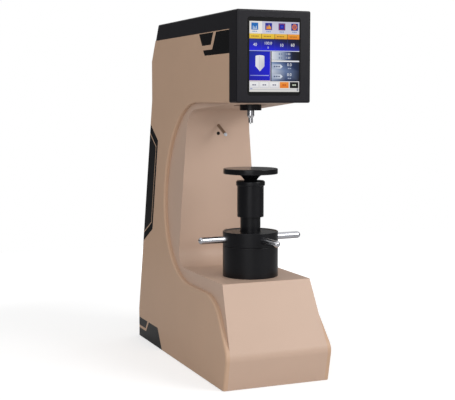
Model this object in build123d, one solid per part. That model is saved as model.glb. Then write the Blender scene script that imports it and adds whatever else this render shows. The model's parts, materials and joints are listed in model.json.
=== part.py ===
from build123d import *
import os
from math import cos, hypot, pi, radians, sin, tan

# A bench hardness tester of the Rockwell type, in millimetres.
# X runs to the right of someone facing the display, Z runs up.
# While it is drawn, Y = 0 is the tip of the nose and Y grows towards the back; the last lines
# move the origin to the bottom centre of the whole machine.

# ---- Body envelope ----
BODY_LENGTH = 538.0          # nose to back
BODY_WIDTH = 225.0           # across the base
BODY_HEIGHT = 720.0
HEAD_NARROWING = 70.6        # the head is this much narrower than the base
SKIRT_Z = 0.8                # gap between the covers and the bench
CREASE_Z = 65.2              # the sides stand upright below this height and lean in above it
NOSE_UNDERCUT = 14.6         # how far the nose draws back at the bench
CREASE_RADIUS = 26.0
HEAD_HEIGHT = 175.0
LEAN_END_RISE = 6.0          # the sides stand upright again this far above the head's bottom
REAR_EDGE_RADIUS = 3.0
REAR_SLANT_RISE = 85.5       # slanted top corner at the back
REAR_SLANT_RUN = 50.0
ROOF_HEIGHT = 35.0           # the roof cover, above its joint with the body

# ---- Frame casting ----
CASTING_WALL = 10.0
PLATFORM_Z = 196.6
PLATFORM_FRONT_Y = 63.2
REAR_DEPTH = 221.0           # throat wall to back
ARM_FRONT_RISE = 1.0         # underside of the arm above the head's bottom, at the head ...
ARM_ROOT_DROP = 17.0         # ... and below it where it would meet the throat wall
LOWER_THROAT_RADIUS = 40.0
UPPER_THROAT_RADIUS = 45.0
PLATFORM_EDGE_RADIUS = 1.5

# ---- Side covers ----
COVER_T = 9.0
COVER_EDGE_RADIUS = 4.0
LIP_START_RISE = 13.0        # up to here above the crease the covers follow the casting's slope
LIP_BELOW_PLATFORM = 26.6
LIP_CORNER_Y = 81.5
LIP_START_RADIUS = 20.0
LIP_BEND_RADIUS = 105.0
C_REVEAL = 96.0              # the C of the covers lies this far behind the throat wall
C_MIDDLE_ABOVE_PLATFORM = 167.4
C_LOWER_REACH = 191.0
C_UPPER_REACH = 155.0

# ---- Head ----
HEAD_FRONT_Y = 32.8
HEAD_SEAM_Y = 69.6           # joint between the head front cover and the body
HEAD_COVER_T = 3.0
HEAD_EDGE_RADIUS = 3.5
GLASS_WIDTH = 110.6
GLASS_HEIGHT = 147.0
GLASS_T = 2.0
GLASS_CORNER = 5.0
GLASS_LEDGE = 5.0            # width of the ledge that the glass is glued to
PANEL_T = 6.0
PANEL_MARGIN = 3.0
BOARD_WIDTH = 90.0
BOARD_HEIGHT = 110.0
BOARD_T = 1.6
BOARD_STANDOFF = 14.0
STANDOFF_RADIUS = 3.0
ROOF_T = 3.0

# ---- Black inlays ----
INLAY_DEPTH = 1.0
# Head inlays: (distance behind the head's seam, distance below the roof's seam)
HEAD_INLAY_SMALL = ((81.5, 1.4), (159.8, 1.4), (143.0, 25.5), (95.5, 25.5))
HEAD_INLAY_LARGE = ((0.0, 1.4), (67.7, 1.4), (88.0, 34.8), (138.0, 34.8), (128.5, 45.8), (0.0, 45.8))
# Base inlays: (distance from the back, height above the bench)
BASE_INLAY_SMALL = ((64.3, 44.8), (-9.0, 44.8), (-9.0, 26.0), (49.8, 26.0))
BASE_INLAY_LARGE = ((-9.0, 20.0), (52.6, 20.0), (74.0, 44.8), (136.5, 44.8), (165.0, SKIRT_Z),
                    (-9.0, SKIRT_Z))
TRIM_DEPTH = 3.0
TRIM_LENGTH = 63.0           # along the side, from the back
TRIM_TOP_DEPTH = 223.0       # its top edge at the back, below the roof
TRIM_TOP_CORNER_DROP = 38.0
TRIM_BOTTOM_Z = 222.0
TRIM_BOTTOM_CORNER_RISE = 36.0
TRIM_BAND = 10.0             # the black band is this wide along its upright part ...
TRIM_SLANT_BAND = 16.5       # ... and this wide along its slanted parts
TRIM_LINE = 2.6              # flush rib in the body's colour between the band and the rear door
DOOR_OPENING_MARGIN = 50.5   # from the side of the base to the side of the opening
DOOR_OPENING_LAP = 14.0
DOOR_SCREW_INSET = 7.0

# ---- Back ----
BACK_T = 4.0
SOCKET_Z = 122.0
INLET_WIDTH = 48.0
INLET_HEIGHT = 28.0
INLET_DEPTH = 22.0
INLET_WALL = 5.0
INLET_PIN = (2.0, 4.0)       # width and height of a flat pin
INLET_PIN_PLACES = ((0.0, 3.0), (-7.0, -3.0), (7.0, -3.0))
SOCKET_WALL = 2.5
SOCKET_FLOOR = 3.0
SOCKET_LIP = 2.0
PIN_SETBACK = 4.0
SWITCH_X = -45.0
SWITCH_WIDTH = 22.0
SWITCH_HEIGHT = 30.0
SWITCH_DEPTH = 20.0
ROCKER_TILT = 12.0
ROCKER_CROWN = 1.6
ROCKER_DEPTH = 8.0
ROCKER_TAPER = 2.5
ROCKER_END_GAP = 1.0
ROCKER_PIN_RADIUS = 1.5
ROCKER_PIN_REACH = 1.2
PORT_X = 48.0
PORT_WIDTH = 32.0
PORT_HEIGHT = 14.0
PORT_DEPTH = 14.0
PORT_TONGUE = (18.0, 4.0)
SCREW_HEAD_RADIUS = 4.0
SCREW_HEAD_H = 2.4
SCREW_SHANK_RADIUS = 2.0

# ---- Clearances ----
RUNNING = 0.05               # radial, shafts that turn or slide in a bore
FREE = 0.3                   # pieces that only pass each other
PASSING = 1.0                # tubes that slide over each other without touching

# ---- Elevating screw ----
AXIS_Y = 143.8
SCREW_RADIUS = 18.0
SCREW_BELOW_PLATFORM = 156.6
SCREW_KEYWAY = 6.0
NUT_RADIUS = 25.0
NUT_BOTTOM_BELOW = 49.0      # the nut reaches this far below the platform
NUT_FLANGE_RADIUS = 42.0
NUT_FLANGE_T = 8.0
GUIDE_LENGTH = 26.0
BOSS_RADIUS = 45.0
DRUM_RADIUS = 56.0
DRUM_HEIGHT = 62.0
DRUM_FLOOR = 6.0
RACE_T = 3.5
BALL_RADIUS = 2.5
BALL_COUNT = 12
RACE_RADIUS = 40.0
BALL_CIRCLE_RADIUS = 34.0
HUB_HEIGHT = 28.5
HUB_DISH = 1.5
HUB_EDGE = 1.5
BAR_RADIUS = 7.1
BAR_TIP = 115.5              # from the axis to the end of a bar
BAR_ROOT = 40.0
BAR_ANGLE = 4.0              # degrees, the bars at rest
BAR_COUNT = 4
INNER_SLEEVE_RADIUS = 20.4
INNER_SLEEVE_T = 1.5
INNER_SLEEVE_BOTTOM = 39.0   # above the platform, at rest
INNER_SLEEVE_LENGTH = 127.0
OUTER_SLEEVE_RADIUS = 26.8
OUTER_SLEEVE_T = 4.0
OUTER_SLEEVE_BOTTOM = 119.8
OUTER_SLEEVE_LENGTH = 73.1
BEAD_RADIUS = 29.2
BEAD_HEIGHT = 10.0
BEAD_ROUNDING = 4.0          # round its top; its lower edge is rounded almost to the tube

# ---- Anvil ----
ANVIL_RADIUS = 55.0
ANVIL_HEIGHT = 24.5
ANVIL_RIM = 11.0
ANVIL_EDGE_RADIUS = 1.8
ANVIL_FLARE_RADIUS = 31.0
ANVIL_FLARE_SAG = 2.6        # how far the flare's hollow lies inside a straight cone
ANVIL_STEM_RADIUS = 12.8
ANVIL_STEM_HEIGHT = 0.8
ANVIL_SPIGOT_RADIUS = 9.5
ANVIL_SPIGOT_LENGTH = 28.0

# ---- Spindle and indenter ----
COLLAR_RADIUS = 21.75
COLLAR_HEIGHT = 13.0
COLLAR_DROP = 15.0           # the collar's bottom below the head's
COLLAR_POCKET_DEPTH = 6.0
SEAT_RING_RADIUS = 33.5      # shallow round recess in the arm round the collar
SEAT_RING_DEPTH = 1.0
SPINDLE_RADIUS = 10.0
SPINDLE_SEAT_T = 6.0
SPINDLE_TRAVEL = 1.0
INDENTER_RADIUS = 7.35
INDENTER_SHOULDER = 10.6
INDENTER_TAPER = 4.6
INDENTER_NOSE_RADIUS = 4.5
INDENTER_NOSE_CHAMFER = 0.8
INDENTER_LENGTH = 25.0
INDENTER_SHANK_RADIUS = 3.175
INDENTER_SHANK_LENGTH = 9.0
TIP_RADIUS = 1.5
TIP_HEIGHT = 2.0
CLAMP_SCREW_RADIUS = 2.5
HEAD_BOSS_RADIUS = 26.0
HEAD_BOSS_RISE = 67.0
BUSH_RADIUS = 15.0
BUSH_LENGTH = 20.0
SPRING_DISC_T = 1.0          # one disc of the spring's stack
SPRING_DISCS = 6
SPRING_WIDTH = 3.0
SPRING_COLLAR_T = 4.0
SPRING_COLLAR_RADIUS = 13.5
GAUGE_RADIUS = 23.0
GAUGE_T = 5.7

# ---- Load lever, weights, motor ----
LEVER_SHORT_ARM = 25.0       # pivot to spindle
CARRIER_FROM_BACK = 106.2
LEVER_WIDTH = 20.0
LEVER_HEIGHT = 30.0
KNIFE_HEIGHT = 10.0
LEVER_END = 14.0             # beam left beyond the pivot and beyond the carrier
PIVOT_RADIUS = 6.0
POST_WIDTH = 26.0
POST_T = 12.0
KNIFE_WIDTH = 12.0
STIRRUP_T = 5.0
STIRRUP_WIDTH = 14.0
STIRRUP_PIN_RADIUS = 5.0
STIRRUP_DROP = 28.0
CARRIER_ROD_RADIUS = 6.0
CARRIER_ROD_LENGTH = 344.0
CARRIER_PLATE_RADIUS = 32.0
CARRIER_PLATE_T = 6.0
WEIGHT_GAP = 10.5            # between the weights and the casting's walls
WEIGHT_HEIGHTS = (45.0, 35.0, 35.0)
CAM_BEFORE_CARRIER = 63.8
CAM_RADIUS = 20.0
CAM_THROW = 8.0
CAM_WIDTH = 14.0
CAM_SHAFT_RADIUS = 5.0
MOTOR_RADIUS = 18.0
MOTOR_X = 12.0

# ---- Work light ----
LIGHT_BELOW_HEAD = 48.2
LIGHT_RADIUS = 3.5
LIGHT_REACH = 44.0
LIGHT_DROP = 20.0
LIGHT_T = 1.0
LENS_LENGTH = 5.0
GROMMET_BELOW_LIGHT = 17.5
GROMMET_RADIUS = 3.8
GROMMET_LIP = 1.0
GROMMET_DISH = 3.0

# ---- Base plate, feet, power supply ----
PLATE_T = 3.0
FOOT_FROM_SIDE = 42.5
FOOT_FROM_FRONT = 62.0
FOOT_FROM_BACK = 60.0
FOOT_PAD_RADIUS = 17.0
FOOT_PAD_H = 8.0
FOOT_PAD_BEVEL = 1.0
FOOT_STUD_RADIUS = 6.0
FOOT_STUD_TOP_Z = 58.0
FOOT_TRAVEL = 6.0
FOOT_NUT_RADIUS = 10.5
FOOT_NUT_H = 6.0
FOOT_BOSS_Z = 17.0
FOOT_BOSS_TOP_Z = 48.0
SUPPLY_SIZE = (70.0, 120.0, 42.0)
SUPPLY_FROM_BACK = 198.0

# ---- Places worked out from the sizes above ----
HEAD_WIDTH = BODY_WIDTH - HEAD_NARROWING
HEAD_BOTTOM_Z = BODY_HEIGHT - HEAD_HEIGHT
ROOF_SEAM_Z = BODY_HEIGHT - ROOF_HEIGHT
GLASS_CENTRE_Z = HEAD_BOTTOM_Z + HEAD_HEIGHT / 2
LEAN_END_Z = HEAD_BOTTOM_Z + LEAN_END_RISE
ARM_FRONT_Z = HEAD_BOTTOM_Z + ARM_FRONT_RISE
ARM_ROOT_Z = HEAD_BOTTOM_Z - ARM_ROOT_DROP
THROAT_WALL_Y = BODY_LENGTH - REAR_DEPTH
TRIM_FRONT_Y = BODY_LENGTH - TRIM_LENGTH
TRIM_TOP_Z = BODY_HEIGHT - TRIM_TOP_DEPTH
TRIM_TOP_CORNER_Z = TRIM_TOP_Z - TRIM_TOP_CORNER_DROP
TRIM_BOTTOM_CORNER_Z = TRIM_BOTTOM_Z + TRIM_BOTTOM_CORNER_RISE
BACK_Y = BODY_LENGTH - BACK_T
LIP_Z = PLATFORM_Z - LIP_BELOW_PLATFORM
C_BACK_Y = THROAT_WALL_Y + C_REVEAL
C_MIDDLE_Z = PLATFORM_Z + C_MIDDLE_ABOVE_PLATFORM
SLANT_Z = BODY_HEIGHT - REAR_SLANT_RISE
SLANT_LENGTH = hypot(REAR_SLANT_RISE, REAR_SLANT_RUN)
SIDE_LEAN = (BODY_WIDTH - HEAD_WIDTH) / 2 / (LEAN_END_Z - CREASE_Z)
HUB_BOTTOM_Z = PLATFORM_Z + DRUM_HEIGHT + FREE
BEARING_Z = PLATFORM_Z + DRUM_FLOOR
FLANGE_Z = BEARING_Z + 2 * RACE_T + 2 * BALL_RADIUS
SCREW_BOTTOM_Z = PLATFORM_Z - SCREW_BELOW_PLATFORM
SLEEVE_TUBE_RADIUS = INNER_SLEEVE_RADIUS + PASSING
SLEEVE_TOP_Z = PLATFORM_Z + OUTER_SLEEVE_BOTTOM + OUTER_SLEEVE_LENGTH
NUT_TOP_Z = HUB_BOTTOM_Z + HUB_HEIGHT - 2 * HUB_DISH
ANVIL_TOP_Z = SLEEVE_TOP_Z + ANVIL_HEIGHT
COLLAR_BOTTOM_Z = HEAD_BOTTOM_Z - COLLAR_DROP
COLLAR_TOP_Z = COLLAR_BOTTOM_Z + COLLAR_HEIGHT
HEAD_BOSS_TOP_Z = HEAD_BOTTOM_Z + HEAD_BOSS_RISE
SPINDLE_TOP_Z = HEAD_BOSS_TOP_Z + GAUGE_T + FREE + SPINDLE_SEAT_T
LEVER_BOTTOM_Z = SPINDLE_TOP_Z + KNIFE_HEIGHT
PIVOT_Y = AXIS_Y - LEVER_SHORT_ARM
CARRIER_Y = BODY_LENGTH - CARRIER_FROM_BACK
CAM_Y = CARRIER_Y - CAM_BEFORE_CARRIER
PIVOT_Z = LEVER_BOTTOM_Z + LEVER_HEIGHT / 2
LEVER_TOP_Z = LEVER_BOTTOM_Z + LEVER_HEIGHT
LOWER_BUSH_Z = COLLAR_TOP_Z + COLLAR_POCKET_DEPTH + SPINDLE_TRAVEL
UPPER_BUSH_Z = HEAD_BOSS_TOP_Z - BUSH_LENGTH
STIRRUP_BAR_Z = LEVER_BOTTOM_Z - STIRRUP_DROP
CARRIER_BOTTOM_Z = STIRRUP_BAR_Z - CARRIER_ROD_LENGTH
CAM_Z = LEVER_BOTTOM_Z - FREE - CAM_RADIUS - CAM_THROW
LIGHT_Z = HEAD_BOTTOM_Z - LIGHT_BELOW_HEAD
GROMMET_Z = LIGHT_Z - GROMMET_BELOW_LIGHT
DOOR_OPENING_WIDTH = BODY_WIDTH - 2 * DOOR_OPENING_MARGIN
DOOR_OPENING_Z = (TRIM_BOTTOM_CORNER_Z + DOOR_OPENING_LAP, TRIM_TOP_CORNER_Z - DOOR_OPENING_LAP)


def half_width(z):
    """Half of the body's width at height z."""
    lean_z = min(max(z, CREASE_Z), LEAN_END_Z)
    return BODY_WIDTH / 2 - (lean_z - CREASE_Z) * SIDE_LEAN


def nose_y(z):
    """Front of the lower nose at height z."""
    return NOSE_UNDERCUT * (1 - z / CREASE_Z)


def slant_y(z, depth=0.0):
    """Slanted back at height z, or a plane that lies depth inside it."""
    return BODY_LENGTH - (z - SLANT_Z) * REAR_SLANT_RUN / REAR_SLANT_RISE \
        - depth * SLANT_LENGTH / REAR_SLANT_RISE


def slant_foot_z(depth):
    """Height where a slant plane lying depth inside meets the back plane of the same depth."""
    return SLANT_Z - depth * (SLANT_LENGTH - REAR_SLANT_RISE) / REAR_SLANT_RUN


def side_solid(face, x_from, x_to):
    """A side view (Y, Z) pushed along X."""
    return extrude(Plane.YZ.offset(x_from) * face, amount=x_to - x_from)


def polygon(*points):
    return make_face(Polyline(*points, close=True))


def box(x, y, z):
    """A box from three (low, high) pairs."""
    corner = Pos((x[0] + x[1]) / 2, (y[0] + y[1]) / 2, (z[0] + z[1]) / 2)
    return corner * Box(x[1] - x[0], y[1] - y[0], z[1] - z[0])


def cylinder(x, y, z_from, z_to, radius):
    """An upright cylinder."""
    return Pos(x, y, (z_from + z_to) / 2) * Cylinder(radius, z_to - z_from)


def tube(x, y, z_from, z_to, outer, inner):
    return cylinder(x, y, z_from, z_to, outer) - cylinder(x, y, z_from - 1, z_to + 1, inner)


def cylinder_x(x_from, x_to, y, z, radius):
    """A cylinder along X."""
    return Pos((x_from + x_to) / 2, y, z) * Rot(0, 90, 0) * Cylinder(radius, x_to - x_from)


def cylinder_y(x, y_from, y_to, z, radius):
    """A cylinder along Y."""
    return Pos(x, (y_from + y_to) / 2, z) * Rot(90, 0, 0) * Cylinder(radius, y_to - y_from)


def turned(*profile):
    """A piece turned on the screw axis, from (radius, z) points of its half section."""
    section = Plane.XZ * polygon(*profile)
    return Pos(0, AXIS_Y, 0) * revolve(section, Axis.Z)


def envelope(inset, back_inset):
    """The body's leaning sides pulled in by inset and its back by back_inset, as a deep block."""
    base = BODY_WIDTH / 2 - inset
    head = HEAD_WIDTH / 2 - inset
    front_view = polygon((-base, -SKIRT_Z), (base, -SKIRT_Z), (base, CREASE_Z), (head, LEAN_END_Z),
                         (head, BODY_HEIGHT), (-head, BODY_HEIGHT), (-head, LEAN_END_Z),
                         (-base, CREASE_Z))
    back = BODY_LENGTH - back_inset
    block = extrude(Plane.XZ.offset(-back) * front_view, amount=back + NOSE_UNDERCUT)
    radius = REAR_EDGE_RADIUS - back_inset
    if 0 < radius <= REAR_EDGE_RADIUS:
        rear = block.edges().filter_by_position(Axis.Y, back - RUNNING, back + RUNNING)
        upright = [edge for edge in rear if abs(edge.tangent_at(0.5).Z) > 0.5]
        block = fillet(upright, radius)
    return block


OUTSIDE = envelope(0, 0)
CORE = envelope(COVER_T, -COVER_T)
TRIM_SKIN = OUTSIDE - envelope(TRIM_DEPTH, TRIM_DEPTH)
INLAY_SKIN = OUTSIDE - envelope(INLAY_DEPTH, INLAY_DEPTH)
WIDE = BODY_WIDTH / 2 + COVER_T


# ---- Black inlays: outlines in side view ----

def trim_outline(inset, slant_inset):
    """Six-sided outline round the back edge, or one lying inside it."""
    rise_top = (TRIM_TOP_Z - TRIM_TOP_CORNER_Z) / (BODY_LENGTH - TRIM_FRONT_Y)
    rise_bottom = (TRIM_BOTTOM_CORNER_Z - TRIM_BOTTOM_Z) / (BODY_LENGTH - TRIM_FRONT_Y)
    front = TRIM_FRONT_Y + inset
    back = BODY_LENGTH + COVER_T

    def top(y):
        return TRIM_TOP_CORNER_Z + (y - TRIM_FRONT_Y) * rise_top - slant_inset * hypot(1, rise_top)

    def bottom(y):
        return TRIM_BOTTOM_CORNER_Z - (y - TRIM_FRONT_Y) * rise_bottom \
            + slant_inset * hypot(1, rise_bottom)

    return polygon((front, bottom(front)), (front, top(front)), (back, top(back)),
                   (back, bottom(back)))


def trim_band_outline():
    return trim_outline(0, 0) - trim_outline(TRIM_BAND, TRIM_SLANT_BAND)


def door_outline():
    return trim_outline(TRIM_BAND + TRIM_LINE, TRIM_SLANT_BAND + TRIM_LINE)


def head_inlay_outlines():
    return [polygon(*[(HEAD_SEAM_Y + run, ROOF_SEAM_Z - drop) for run, drop in corners])
            for corners in (HEAD_INLAY_SMALL, HEAD_INLAY_LARGE)]


def base_inlay_outlines():
    return [polygon(*[(BODY_LENGTH - run, rise) for run, rise in corners])
            for corners in (BASE_INLAY_SMALL, BASE_INLAY_LARGE)]


def inlays(outlines, skin):
    """The outlines cut out of a skin, on both sides of the body."""
    pieces = []
    for outline in outlines:
        for side in (-1, 1):
            inner = side * (HEAD_WIDTH / 2 - COVER_T)
            outer = side * WIDE
            prism = side_solid(outline, min(inner, outer), max(inner, outer))
            limit = BODY_WIDTH / 2 - COVER_T if skin_is_low(outline) else 0
            band = box((min(side * limit, outer), max(side * limit, outer)),
                       (-WIDE, BODY_LENGTH + WIDE), (0, BODY_HEIGHT))
            pieces.append(skin & prism & band)
    return pieces


def skin_is_low(outline):
    return outline.center().Y < CREASE_Z


# ---- Frame casting ----

def casting_outline():
    seam_back = slant_y(ROOF_SEAM_Z, BACK_T)
    corners = [
        ((nose_y(SKIRT_Z), SKIRT_Z), 0),
        ((0, CREASE_Z), CREASE_RADIUS),
        ((PLATFORM_FRONT_Y, PLATFORM_Z), PLATFORM_EDGE_RADIUS),
        ((THROAT_WALL_Y, PLATFORM_Z), LOWER_THROAT_RADIUS),
        ((THROAT_WALL_Y, ARM_ROOT_Z), UPPER_THROAT_RADIUS),
        ((HEAD_SEAM_Y, ARM_FRONT_Z), 0),
        ((HEAD_SEAM_Y, ROOF_SEAM_Z), 0),
        ((seam_back, ROOF_SEAM_Z), 0),
        ((BACK_Y, slant_foot_z(BACK_T)), 0),
        ((BACK_Y, SKIRT_Z), 0),
    ]
    line = FilletPolyline([point for point, _ in corners], radius=[r for _, r in corners],
                          close=True)
    return make_face(line)


def frame_casting():
    outline = casting_outline()
    hollow = offset(outline, amount=-CASTING_WALL)
    front = NOSE_UNDERCUT + 1.5 * CASTING_WALL
    open_bottom = polygon((front, 0), (BACK_Y, 0), (BACK_Y, 2 * CASTING_WALL),
                          (front, 2 * CASTING_WALL))
    open_back = polygon((BACK_Y - 2 * CASTING_WALL, 0), (BODY_LENGTH, 0),
                        (BODY_LENGTH, BODY_HEIGHT), (BACK_Y - 2 * CASTING_WALL, BODY_HEIGHT))
    head_front = HEAD_SEAM_Y + CASTING_WALL
    open_top = polygon((head_front, ROOF_SEAM_Z - 2 * CASTING_WALL), (BODY_LENGTH, ROOF_SEAM_Z
                       - 2 * CASTING_WALL), (BODY_LENGTH, BODY_HEIGHT), (head_front, BODY_HEIGHT))
    hollow = hollow + open_bottom + open_back + open_top
    cavity = side_solid(hollow, -WIDE, WIDE) & envelope(COVER_T + CASTING_WALL, -COVER_T)
    casting = (side_solid(outline, -WIDE, WIDE) & CORE) - cavity

    nut_bottom = PLATFORM_Z - NUT_BOTTOM_BELOW
    guide_bottom = nut_bottom - FREE - GUIDE_LENGTH
    casting += cylinder(0, AXIS_Y, guide_bottom, PLATFORM_Z - CASTING_WALL / 2, BOSS_RADIUS)
    casting -= cylinder(0, AXIS_Y, guide_bottom - 1, PLATFORM_Z + 1, guide_bush_radius())
    casting -= cylinder(0, AXIS_Y, nut_bottom - FREE, PLATFORM_Z + 1, NUT_RADIUS + PASSING)

    arm_z = ARM_FRONT_Z - (ARM_FRONT_Z - ARM_ROOT_Z) * (AXIS_Y - HEAD_SEAM_Y) \
        / (THROAT_WALL_Y - HEAD_SEAM_Y)
    casting += cylinder(0, AXIS_Y, arm_z + CASTING_WALL / 2, HEAD_BOSS_TOP_Z, HEAD_BOSS_RADIUS)
    for side in (-1, 1):
        inner = side * (LEVER_WIDTH / 2 + FREE)
        outer = side * (LEVER_WIDTH / 2 + FREE + POST_T)
        post = box((min(inner, outer), max(inner, outer)),
                   (PIVOT_Y - POST_WIDTH / 2, PIVOT_Y + POST_WIDTH / 2),
                   (arm_z + CASTING_WALL / 2, PIVOT_Z + POST_WIDTH / 2))
        casting += post
    casting -= cylinder(0, AXIS_Y, arm_z - 2 * SEAT_RING_DEPTH, BODY_HEIGHT, BUSH_RADIUS) \
        - cylinder(0, AXIS_Y, HEAD_BOSS_TOP_Z, BODY_HEIGHT + 1, BODY_WIDTH)
    casting -= cylinder(0, AXIS_Y, arm_z - PASSING * 3, LOWER_BUSH_Z, COLLAR_RADIUS + PASSING)
    casting -= cylinder(0, AXIS_Y, arm_z - PASSING * 3, arm_z + SEAT_RING_DEPTH, SEAT_RING_RADIUS)
    casting -= cylinder(0, AXIS_Y, HEAD_BOSS_TOP_Z, PIVOT_Z + POST_WIDTH,
                        GAUGE_RADIUS + PASSING)
    casting -= cylinder_x(-HEAD_WIDTH / 3, HEAD_WIDTH / 3, PIVOT_Y, PIVOT_Z, PIVOT_RADIUS)

    half_window = BOARD_WIDTH / 2 - 2 * STANDOFF_RADIUS - CASTING_WALL
    casting -= box((-half_window, half_window), (HEAD_SEAM_Y - 1, head_front + 1),
                   (GLASS_CENTRE_Z - BOARD_HEIGHT / 4, GLASS_CENTRE_Z + BOARD_HEIGHT / 4))

    inside = BODY_WIDTH / 2 - COVER_T - CASTING_WALL
    for x, y in foot_places():
        casting += cylinder(x, y, FOOT_BOSS_Z, FOOT_BOSS_TOP_Z, FOOT_PAD_RADIUS)
        side = 1 if x > 0 else -1
        web = (side * (abs(x)), side * (inside + 1))
        casting += box((min(web), max(web)), (y - FOOT_PAD_RADIUS / 2, y + FOOT_PAD_RADIUS / 2),
                       (FOOT_BOSS_Z, FOOT_BOSS_TOP_Z))
        casting -= cylinder(x, y, 0, FOOT_BOSS_TOP_Z + 1, FOOT_STUD_RADIUS + RUNNING)
    for x, y in lug_places():
        side = 1 if x > 0 else -1
        lug = (side * (abs(x) - CASTING_WALL / 2), side * (inside + 1))
        casting += box((min(lug), max(lug)), (y - CASTING_WALL, y + CASTING_WALL),
                       (SKIRT_Z + PLATE_T, SKIRT_Z + PLATE_T + CASTING_WALL))

    casting -= light_axis() * Cylinder(LIGHT_RADIUS + RUNNING, 3 * LIGHT_REACH)
    casting -= cylinder_y(0, THROAT_WALL_Y - 1, THROAT_WALL_Y + CASTING_WALL + 1, GROMMET_Z,
                          GROMMET_RADIUS)
    return casting


def guide_bush_radius():
    return SCREW_RADIUS + SCREW_KEYWAY


def foot_places():
    reach = BODY_WIDTH / 2 - FOOT_FROM_SIDE
    return [(x, y) for x in (-reach, reach) for y in (FOOT_FROM_FRONT, BODY_LENGTH - FOOT_FROM_BACK)]


def lug_places():
    inside = BODY_WIDTH / 2 - COVER_T - CASTING_WALL
    return [(x, y) for x in (-inside, inside) for y in (AXIS_Y + BOSS_RADIUS, THROAT_WALL_Y + BOSS_RADIUS)]


# ---- Covers ----

def cover_outline():
    """Side view of a side cover: C-shaped cut-out above, S-shaped lip running down to the nose."""
    lip_start_y = LIP_START_RISE * PLATFORM_FRONT_Y / (PLATFORM_Z - CREASE_Z)
    lower_start = C_BACK_Y - C_LOWER_REACH
    upper_end = C_BACK_Y - C_UPPER_REACH
    lower_c = EllipticalCenterArc((lower_start, C_MIDDLE_Z), C_LOWER_REACH, C_MIDDLE_Z - LIP_Z,
                                  start_angle=270, arc_size=90)
    upper_c = EllipticalCenterArc((upper_end, C_MIDDLE_Z), C_UPPER_REACH,
                                  HEAD_BOTTOM_Z - C_MIDDLE_Z, start_angle=0, arc_size=90)
    rest = FilletPolyline((upper_end, HEAD_BOTTOM_Z), (HEAD_SEAM_Y, HEAD_BOTTOM_Z),
                          (HEAD_SEAM_Y, ROOF_SEAM_Z), (slant_y(ROOF_SEAM_Z), ROOF_SEAM_Z),
                          (BODY_LENGTH, SLANT_Z), (BODY_LENGTH, SKIRT_Z),
                          (nose_y(SKIRT_Z), SKIRT_Z), (0, CREASE_Z),
                          (lip_start_y, CREASE_Z + LIP_START_RISE), (LIP_CORNER_Y, LIP_Z),
                          (lower_start, LIP_Z),
                          radius=[0, 0, 0, 0, 0, 0, CREASE_RADIUS, LIP_START_RADIUS,
                                  LIP_BEND_RADIUS])
    return make_face([rest, lower_c, upper_c])


def side_cover(side):
    """One 9 mm shell, with its free edge rounded and recesses for the black inlays."""
    prism = side_solid(cover_outline(), min(0, side * WIDE), max(0, side * WIDE))
    cover = (prism & OUTSIDE) - CORE

    def is_free_outer_edge(edge):
        middle = edge.position_at(0.5)
        on_outside = abs(abs(middle.X) - half_width(middle.Z)) < RUNNING
        along_crease = abs(edge.tangent_at(0.5).Y) > 0.99 and abs(middle.Z - CREASE_Z) < RUNNING
        in_reach = SKIRT_Z + 1 < middle.Z < HEAD_BOTTOM_Z + 1 and middle.Y < TRIM_FRONT_Y
        return on_outside and in_reach and not along_crease

    cover = fillet([edge for edge in cover.edges() if is_free_outer_edge(edge)], COVER_EDGE_RADIUS)
    for outline in (trim_band_outline(), door_outline()):
        cover -= TRIM_SKIN & side_solid(outline, min(0, side * WIDE), max(0, side * WIDE))
    for piece in inlays(head_inlay_outlines() + base_inlay_outlines(), INLAY_SKIN):
        cover -= piece
    return cover


def back_panel():
    """Sheet cover over the open back, with the slanted top and the openings of the sockets."""
    outline = polygon((BACK_Y, SKIRT_Z), (BODY_LENGTH, SKIRT_Z), (BODY_LENGTH, SLANT_Z),
                      (slant_y(ROOF_SEAM_Z), ROOF_SEAM_Z), (slant_y(ROOF_SEAM_Z, BACK_T), ROOF_SEAM_Z),
                      (BACK_Y, slant_foot_z(BACK_T)))
    panel = side_solid(outline, -WIDE, WIDE) & CORE
    for outline in (trim_band_outline(), door_outline()):
        panel -= TRIM_SKIN & side_solid(outline, -WIDE, WIDE)
    half_door = DOOR_OPENING_WIDTH / 2
    panel -= box((-half_door, half_door), (BACK_Y - 1, BODY_LENGTH + 1), DOOR_OPENING_Z)
    for x, width, height in sockets():
        panel -= socket_hole(x, width, height)
    for x, z in panel_screw_places():
        panel -= cylinder_y(x, BACK_Y - 1, BODY_LENGTH + 1, z, SCREW_SHANK_RADIUS + FREE)
    for x, z in door_screw_places():
        panel -= cylinder_y(x, BACK_Y - 1, BODY_LENGTH + 1, z, SCREW_SHANK_RADIUS)
    return panel


def sockets():
    return [(0, INLET_WIDTH, INLET_HEIGHT), (SWITCH_X, SWITCH_WIDTH, SWITCH_HEIGHT),
            (PORT_X, PORT_WIDTH, PORT_HEIGHT)]


def socket_hole(x, width, height):
    return box((x - width / 2, x + width / 2), (BACK_Y - 1, BODY_LENGTH + 1),
               (SOCKET_Z - height / 2, SOCKET_Z + height / 2))


def panel_screw_places():
    places = []
    for z in (SKIRT_Z + 2 * CASTING_WALL, TRIM_BOTTOM_Z - CASTING_WALL, TRIM_TOP_Z + CASTING_WALL,
              SLANT_Z - CASTING_WALL):
        x = half_width(z) - COVER_T - CASTING_WALL / 2
        places += [(-x, z), (x, z)]
    return places


def door_screw_places():
    x = DOOR_OPENING_WIDTH / 2 + DOOR_SCREW_INSET
    return [(side * x, z) for side in (-1, 1) for z in DOOR_OPENING_Z]


def rear_trim():
    return TRIM_SKIN & side_solid(trim_band_outline(), -WIDE, WIDE)


def rear_door():
    door = TRIM_SKIN & side_solid(door_outline(), -WIDE, WIDE)
    for x, z in door_screw_places():
        door -= cylinder_y(x, BACK_Y - 1, BODY_LENGTH + 1, z, SCREW_SHANK_RADIUS + FREE)
    return door


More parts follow.
